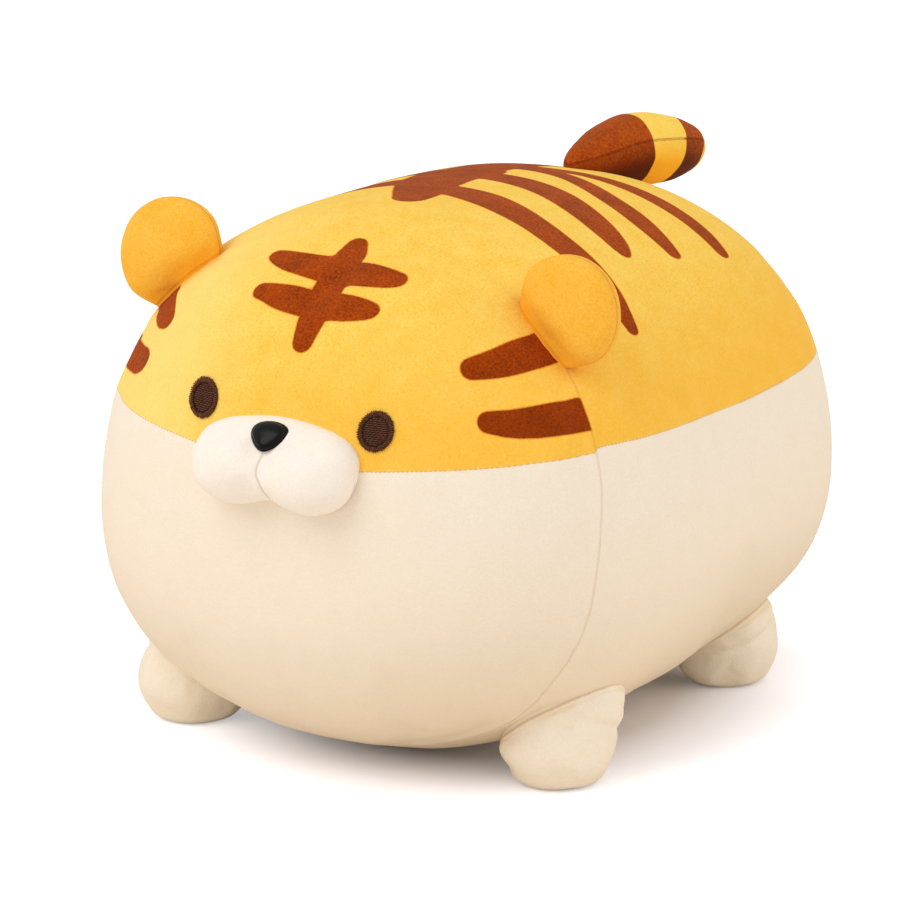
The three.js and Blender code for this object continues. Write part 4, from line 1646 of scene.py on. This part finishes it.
@dataclass
class Foot(Padded):
    """Short stuffed foot that rolls into its seam under the belly."""

    end: str
    side: int
    centre_x: float
    centre_y: float
    width: float = 62.0
    length: float = 63.0
    top_width: float = 84.0
    top_length: float = 86.0
    height: float = 80.0
    splay: float = 13.0
    rake: float = 21.0
    sole_round: float = 29.0
    sole_flat: float = 0.44
    roll: float = 2.4
    roll_height: float = 7.0
    cuts: int = 34
    slack: float = 1.0

    @property
    def label(self) -> str:
        """Which foot this is, in the node names' words."""
        return f"{self.end}_{side_name(self.side)}"

    def middle(self, flare: Points) -> tuple[Points, Points]:
        """Middle of the foot's section at each share of its flare.

        Args:
            flare: 0 at the sole and 1 at the belly.

        Returns:
            Its x and its y.
        """
        across = self.side * (self.centre_x - self.splay * flare)
        along = self.centre_y - math.copysign(self.rake, self.centre_y) * flare
        return across, along

    def field(self, points: Points) -> Points:
        """Negative inside the foot.

        Args:
            points: Places about the body's centre.

        Returns:
            A number for each place.
        """
        level = points[:, 2] + BARREL.centre_height
        low = np.clip((level + 0.5) / self.sole_round, 0, 1)
        bulge = self.sole_flat + (1 - self.sole_flat) * np.sqrt(1 - (1 - low) ** 2)
        flare = smooth(self.sole_round / 2, self.height, level)
        across, along = self.middle(flare)
        near = np.clip(BARREL.distance(points) / self.roll_height, 0, 1)
        tuck = self.roll * (1 - np.sqrt(1 - (1 - near) ** 2)) - 1.0
        half_width = self.width / 2 * bulge + (self.top_width - self.width) / 2 * flare - tuck
        half_length = self.length / 2 * bulge + (self.top_length - self.length) / 2 * flare - tuck
        ring = np.hypot((points[:, 0] - across) / half_width, (points[:, 1] - along) / half_length)
        ring = ring - 0.03 * self.folds(points)
        return np.maximum(ring - 1, np.maximum(-level, level - self.height) / 10)

    def folds(self, points: Points) -> Points:
        """Soft folds on the outer side where the foot slumps under the body, negative in a fold.

        Args:
            points: Places about the body's centre.

        Returns:
            A height from about -1 to 1 for each place.
        """
        level = points[:, 2] + BARREL.centre_height
        x = self.side * points[:, 0] - self.centre_x
        y = math.copysign(1, self.centre_y) * (points[:, 1] - self.centre_y)
        outer = smooth(-5.0, 20.0, x) * smooth(28.0, -6.0, y)
        valley = dip(level - 36.0 - 0.35 * y, 3.2)
        ridge = dip(level - 43.0 - 0.35 * y, 4.5)
        return outer * (ridge - 1.2 * valley)

    def sew(self, stuffing: Stuffing) -> None:
        """Make the slack cover and hand it to the stuffing.

        Args:
            stuffing: Takes the finished cover.
        """
        rays, faces = even_rays(self.cuts)
        across, along = self.middle(np.array([0.25]))
        centre = np.array([across[0], along[0], 30.0 - BARREL.centre_height])
        skin = radial(self.field, centre, rays, far=90.0)
        seed = 20 + 2 * (self.end == "rear") + (self.side > 0)
        lumps = 0.7 * unevenness(skin, size=24.0, seed=seed) - self.slack
        lumps *= smooth(0.5, 9.0, skin[:, 2] + BARREL.centre_height)
        skin = BARREL.settle(skin + unit(skin - centre) * lumps[:, None], SUNK)
        skin[:, 2] = np.maximum(skin[:, 2], -BARREL.centre_height)
        level = skin[:, 2] + BARREL.centre_height
        held = np.maximum(smooth(2.5, 0.0, BARREL.distance(skin)), smooth(2.0, 0.3, level))
        self.item = object_of(f"foot_{self.label}_plush", skin, faces)
        self.hand_over(stuffing, held, 1.6, give=0.05, soften=5, stiffness=1.2)

    def dress(self) -> None:
        """Smooth the cover and put it on the frame."""
        places = subdivided(self.item)
        near = BARREL.distance(places)
        keep_on(
            self.item,
            top_seam=near - 0.4,
            # Line below the seam allowance, for its painted shadow
            second_line=near - 3.6,
            lost=1.2 * smooth(-0.3, 0.6, unevenness(places, size=30.0, seed=3)),
        )
        finish = ShornPlush(
            f"cream short-pile plush, {self.label.replace('_', ' ')} foot",
            FOOT_CREAM,
            creases=(
                Crease("top_seam", 1.4, 0.4, "dcb46e", 0.45),
                # Shallow groove below the top seam, darkened as painted shade under the seam
                # allowance
                Crease("second_line", 2.2, 0.2, "f0cf8c", 0.32, fade="lost"),
            ),
        )
        self.item.data.materials.append(finish.material())
        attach(self.item, "trunk")
        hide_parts(f"foot_{self.label}_cover", f"foot_{self.label}_filling")


@dataclass
class Tail(Padded):
    """Pointed egg in two covers, lying back on the rump, with printed bands."""

    stitches: StitchTree
    thread: bpy.types.Material
    length: float = 118.0
    diameter: float = 42.8
    root_y: float = 108.4
    root_lift: float = 8.4
    root_sag: float = 6.5
    droop: float = 8.5
    swing: float = 8.0
    root_point: float = 0.53
    end_point: float = 0.46
    seam_angle: float = 25.0
    bands: tuple[tuple[float, float], ...] = ((0.44, 0.685), (0.9, 1.1))
    band_skew: float = 0.07
    seam_dip: float = 0.9
    stitch_pitch: float = 3.4
    stitch_length: float = 2.1
    stitch_depth: float = 1.1
    bend: float = 20.0
    cuts: int = 46
    slack: float = 0.8

    def frame(self) -> tuple[Points, Points]:
        """Root tip, and the tail's own axes across, along and up as rows.

        Returns:
            The point and the three axes.
        """
        top = BARREL.on_surface(np.array([0.0]), np.array([self.root_y]), Seen.ABOVE)[0]
        swing, droop = math.radians(self.swing), math.radians(self.droop)
        across = np.array([math.cos(swing), -math.sin(swing), 0.0])
        ahead = np.array([math.sin(swing), math.cos(swing), 0.0])
        along = ahead * math.cos(droop) - np.array([0.0, 0.0, math.sin(droop)])
        up = np.cross(across, along)
        return top + np.array([0.0, 0.0, self.root_lift]), np.array([across, along, up])

    @property
    def widest(self) -> float:
        """Share of the length at which the tail is thickest."""
        return self.root_point / (self.root_point + self.end_point)

    def girth(self, share: Points) -> Points:
        """Radius of the tail at each share of its length.

        Args:
            share: Shares of the length, 0 at the root.

        Returns:
            The radii.
        """
        share = np.clip(share, 0, 1)
        swell = share**self.root_point * (1 - share) ** self.end_point
        most = self.widest**self.root_point * (1 - self.widest) ** self.end_point
        return self.diameter / 2 * swell / most

    def slope(self, share: float, out: Points) -> Points:
        """Direction in which the side seam runs at a share of the length.

        Args:
            share: Share of the length.
            out: Direction from the middle line to the seam.

        Returns:
            The direction, in the tail's own axes.
        """
        ends = np.array([share - 0.005, share + 0.005])
        radius, drop = self.girth(ends), self.sag(ends)
        line = out[None, :] * radius[:, None]
        line[:, 1] = ends * self.length
        line[:, 2] -= drop
        return line[1] - line[0]

    def sag(self, share: Points) -> Points:
        """How far the tail's middle line drops towards its root."""
        return self.root_sag * smooth(0.45, 0.0, share)

    def field(self, local: Points) -> Points:
        """Negative inside the tail, in its own axes before it sags.

        Args:
            local: Places in the tail's own axes.

        Returns:
            A number for each place.
        """
        share = local[:, 1] / self.length
        beyond = np.maximum(np.abs(share - 0.5) - 0.5, 0) * self.length
        return np.hypot(local[:, 0], local[:, 2]) - self.girth(share) + beyond

    def seam(self, local: Points) -> Points:
        """Distance from the side seams, signed by the side that it lies on."""
        rise = math.radians(self.seam_angle)
        return np.abs(local[:, 0]) * math.sin(rise) - local[:, 2] * math.cos(rise)

    def sew(self, stuffing: Stuffing) -> None:
        """Make the slack cover and hand it to the stuffing.

        Args:
            stuffing: Takes the finished cover.
        """
        oval = (self.diameter / 2, self.length / 2, self.diameter / 2)
        rays, faces = even_rays(self.cuts, oval)
        centre = np.array([0.0, self.widest * self.length, 0.0])
        local = radial(self.field, centre, rays, far=140.0)
        share = local[:, 1] / self.length
        ends = smooth(0, 0.2, share) * smooth(1.0, 0.82, share)
        seam = smooth(2.4, 0.5, np.abs(self.seam(local)))
        inset = self.slack * (1 - seam) + self.seam_dip * seam
        radius = np.maximum(np.hypot(local[:, 0], local[:, 2]), 1e-3)
        inset = np.minimum(inset * ends, radius * 0.5)
        pucker = 0.35 * np.sin(local[:, 1] * 2 * math.pi / 7.0) * dip(self.seam(local), 4.0)
        scale = (radius - inset + pucker * ends) / radius
        local[:, 0] *= scale
        local[:, 2] = local[:, 2] * scale - self.sag(share)
        root, axes = self.frame()
        rooted = smooth(0.2, 0.1, share)
        skin = BARREL.settle(root + local @ axes, 0.4 - 2.0 * rooted)
        held = np.maximum(seam, smooth(2.0, 0.5, BARREL.distance(skin)))
        self.item = object_of("tail_plush", skin, faces)
        self.hand_over(stuffing, held, 1.5, give=0.02, dent=0.2, soften=24, stiffness=3.0)

    def seam_stitches(self) -> bpy.types.Object:
        """Seam thread that shows as short stitches sunk in both side seams.

        Returns:
            The stitches of both seams as one piece.
        """
        root, axes = self.frame()
        rise = math.radians(self.seam_angle)
        share = np.arange(0.1, 0.93, self.stitch_pitch / self.length)
        share = share[(share < self.bands[0][0]) | (share > self.bands[0][1])]
        spots, runs, normals = [], [], []
        for side in (-1, 1):
            out = np.array([side * math.cos(rise), 0.0, math.sin(rise)])
            radius = self.girth(share) - self.stitch_depth
            local = out[None, :] * radius[:, None]
            local[:, 1] = share * self.length
            local[:, 2] -= self.sag(share)
            spots.append(root + local @ axes)
            heading = unit(np.stack([self.slope(one, out) for one in share]))
            runs.append(heading @ axes * self.stitch_length)
            normals.append(np.tile(out @ axes, (len(share), 1)))
        layout = [np.concatenate(rows) for rows in (spots, runs, normals)]
        name = "tail_seam_stitches"
        return self.stitches.lay(name, *layout, self.thread, radius=0.17, bulge=0.15)

    def dress(self) -> None:
        """Smooth the cover, print its bands and put it on the frame."""
        places = subdivided(self.item)
        root, axes = self.frame()
        local = (places - root) @ axes.T
        share = local[:, 1] / self.length
        local[:, 2] += self.sag(share)
        lower = self.seam(local)
        skew = self.band_skew * smooth(0.42, 0.7, share) * local[:, 2] * 2 / self.diameter
        printed = share - skew
        bands = [np.abs(printed - (low + high) / 2) - (high - low) / 2 for low, high in self.bands]
        keep_on(
            self.item,
            yellow_edge=np.minimum.reduce(bands) * self.length,
            side_seam=lower,
            # Painted shade: darker on the underside, below the side seams
            nap=0.3 * smooth(-0.5, 1.0, lower) + 0.7 * smooth(0, 15, lower),
        )
        finish = ShornPlush(
            "banded short-pile plush",
            TAIL_BROWN,
            prints=(TAIL_YELLOW,),
            creases=(Crease("side_seam", 1.0, 0.8, "cc8436", 0.45),),
            nap="nap",
            clump=1.6,
        )
        self.item.data.materials.append(finish.material())
        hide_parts("tail_upper_cover", "tail_lower_cover", "tail_filling")
        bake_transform(self.item)
        thread = self.seam_stitches()
        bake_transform(thread)


@dataclass
class BellyClosing:
    """Ladder stitches that close the belly seam after stuffing."""

    stitches: StitchTree
    thread: bpy.types.Material
    first: float = -55.0
    last: float = 75.0
    pitch: float = 5.0
    span: float = 3.4
    lean: float = 0.5
    height: float = -0.1

    def build(self) -> None:
        """Lay the stitches across the seam and put them on the frame."""
        along = np.arange(self.first, self.last, self.pitch)
        skin = BARREL.on_surface(np.zeros(len(along)), along, Seen.BELOW)
        normals, _ = BARREL.normal(skin)
        lean = np.where(np.arange(len(along)) % 2 == 0, self.lean, -self.lean)
        runs = np.stack([np.full(len(along), self.span), lean, np.zeros(len(along))], axis=1)
        rows = (skin + normals * self.height, runs, normals)
        name = "belly_ladder_stitches"
        item = self.stitches.lay(name, *rows, self.thread, radius=0.24, bulge=0.25)
        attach(item, "trunk")


@dataclass
class Studio:
    """Pale floor, soft light and the camera at the photograph's angle."""

    image: float = 900.0
    azimuth: float = 31.175
    elevation: float = 16.056
    distance: float = 5.5556
    pixels_per_metre: float = 1797.1
    centre_pixel: tuple[float, float] = (469.6, 485.0)
    lit_spot: tuple[float, float, float] = (0, 0, 0.12)
    glow_middle: tuple[float, float, float] = (0.03, 0.01, 0)
    glow_scale: tuple[float, float, float] = (1 / 0.18, 1 / 0.25, 0)

    def aimed(self, name: str, data: bpy.types.ID, spot: Vector, back: Vector) -> bpy.types.Object:
        """Put a camera or a lamp in the scene.

        Args:
            name: Its name.
            data: The camera or the lamp.
            spot: Its place, in metres.
            back: Direction from what it looks at to where it stands.

        Returns:
            The new object.
        """
        item = bpy.data.objects.new(name, data)
        item.location = spot
        item.rotation_mode = "QUATERNION"
        item.rotation_quaternion = back.to_track_quat("Z", "Y")
        bpy.context.scene.collection.objects.link(item)
        return item

    def camera(self) -> None:
        """Place the camera so that the body's middle falls on its pixel of the photograph."""
        turn, rise = math.radians(self.azimuth), math.radians(self.elevation)
        level = math.cos(rise)
        back = Vector((math.sin(turn) * level, -math.cos(turn) * level, math.sin(rise)))
        data = bpy.data.cameras.new("camera")
        data.sensor_width = 36.0
        data.lens = self.pixels_per_metre * self.distance / self.image * data.sensor_width
        data.shift_x = (self.image / 2 - self.centre_pixel[0]) / self.image
        data.shift_y = (self.centre_pixel[1] - self.image / 2) / self.image
        data.clip_end = 50.0
        spot = Vector(BARREL.shift / MM) + back * self.distance
        bpy.context.scene.camera = self.aimed("camera", data, spot, back)

    def lamp(self, name: str, spot: Vector, size: float, power: float, colour: str) -> None:
        """Add a square soft light that looks at the toy.

        Args:
            name: The lamp's name.
            spot: Its place, in metres.
            size: Side of the square.
            power: Watts.
            colour: Its colour as sRGB hex.
        """
        data = bpy.data.lights.new(name, "AREA")
        data.shape = "SQUARE"
        data.size = size
        data.energy = power
        data.color = linear(colour)[:3]
        self.aimed(name, data, spot, spot - Vector(self.lit_spot))

    def lights(self) -> None:
        """Light the toy softly from above, a little from the photograph's left."""
        turn = math.radians(self.azimuth)
        right = Vector((math.cos(turn), math.sin(turn), 0))
        near = Vector((math.sin(turn), -math.cos(turn), 0))
        up = Vector((0, 0, 1))
        key, filler = right * -1.7 + near * 1.3 + up * 2.3, right * 2.2 + near * 0.5 + up * 1.0
        self.lamp("key", key, size=2.0, power=30.0, colour="fffaf4")
        self.lamp("fill", filler, size=2.0, power=10.0, colour="fff8f0")

    def world(self) -> None:
        """White to the camera and to reflections, a plain level of light for the rest."""
        world = bpy.data.worlds.new("studio")
        bpy.context.scene.world = world
        node = clean_tree(world)
        path = node("LightPath").node.outputs
        seen = {0: path["Is Camera Ray"], 1: path["Is Glossy Ray"]}
        seen = {0: node("Math", seen, operation="MAXIMUM"), 1: path["Is Transmission Ray"]}
        seen = node("Math", seen, operation="MAXIMUM")
        lit = node("Background", {"Color": linear("fffcf9"), "Strength": 0.74})
        white = node("Background", {"Color": linear("ffffff"), "Strength": 1.0})
        node("OutputWorld", {0: node("MixShader", {0: seen, 1: lit, 2: white})})

    def floor(self) -> None:
        """Large pale floor that reads white to the camera and keeps the toy's shadow.

        The card glows a little more away from the toy, so it stays white outside the shadow.
        """
        size = 12.0
        mesh = bpy.data.meshes.new("floor")
        corners = [(-size, -size, 0), (size, -size, 0), (size, size, 0), (-size, size, 0)]
        mesh.from_pydata(corners, [], [(0, 1, 2, 3)])
        item = bpy.data.objects.new("floor", mesh)
        bpy.context.scene.collection.objects.link(item)
        material = bpy.data.materials.new("matt white card")
        node = clean_tree(material)
        matt = node("BsdfDiffuse", {"Color": linear("f8eee2")})
        shown = node("BsdfDiffuse", {"Color": linear("f6f5fb")})
        away = {0: node("TexCoord", out="Object"), 1: self.glow_middle}
        away = {0: node("VectorMath", away, operation="SUBTRACT"), 1: self.glow_scale}
        away = node("VectorMath", away, operation="MULTIPLY")
        away = node("VectorMath", {0: away}, "Value", operation="LENGTH")
        level = node("MapRange", {0: away, 1: 0.42, 2: 0.85, 4: 0.42})
        glow = node("Emission", {"Color": linear("f6faff"), "Strength": level})
        raised = node("AddShader", {0: shown, 1: glow})
        camera_ray = node("LightPath", out="Is Camera Ray")
        node("OutputMaterial", {0: node("MixShader", {0: camera_ray, 1: matt, 2: raised})})
        mesh.materials.append(material)

    def build(self) -> None:
        """Set up camera, lights, world and floor."""
        self.camera()
        self.lights()
        self.world()
        self.floor()
        bpy.context.scene.view_settings.view_transform = "Standard"


def main() -> None:
    """Build the toy piece by piece and set the studio round it."""
    logging.basicConfig(level=logging.INFO, format="%(name)s: %(message)s")
    stitches = StitchTree()
    # Embroidery: a brown gloss that parts into single threads, over an underlay darkened as painted
    # shade
    brown_thread = SatinThread("dark brown satin thread", "1e0b04", "864c2a", 0.7).material()
    under_thread = SatinThread("dark brown underlay thread", "0c0401", "1e0c04").material()
    # Sewing threads: close to the cloth's own colour, so that only their line shows
    seam_thread = SatinThread("brown sewing thread", "5c2307", "8a4717").material()
    pale_thread = SatinThread("cream sewing thread", "d8c7a6", "efe3cc").material()
    near_ear = Ear(1)
    far_ear = Ear(-1, askew=(3.4, 0.0, -2.2), radius=33.4)
    body = BodyCover(ears=(near_ear, far_ear))
    muzzle = Muzzle()
    near_foot = Foot("front", 1, 118.0, -103.0)
    far_foot = Foot("front", -1, 116.0, -103.0, top_width=72.0, top_length=78.0)
    rear_feet = [
        Foot("rear", side, 103.0, 108.0, width=59.0, length=61.0, top_width=78.0, top_length=82.0)
        for side in (1, -1)
    ]
    tail = Tail(stitches, seam_thread)
    covers: list[Padded] = [body, muzzle, near_ear, far_ear, near_foot, far_foot, *rear_feet, tail]
    stuffing = Stuffing()
    for cover in covers:
        cover.sew(stuffing)
    stuffing.fill()
    for cover in covers:
        cover.dress()
        LOG.info("%s dressed", cover.item.name)
    Nose(muzzle).build()
    LOG.info("nose moulded")
    for side in (1, -1):
        eye = Eye(side, body, stitches, brown_thread, under_thread)
        eye.build()
        LOG.info("eye %s embroidered", eye.label)
    BellyClosing(stitches, pale_thread).build()
    LOG.info("belly closed")
    washer = FRAME["nodes"]["nose_lock_washer"]
    washer.data.materials.clear()
    # The washer inside the muzzle: milky, with a dull shine
    nylon = MouldedPlastic("natural nylon", "dcdcd6", roughness=0.42)
    washer.data.materials.append(nylon.material())
    Studio().build()


if __name__ == "__main__":
    main()
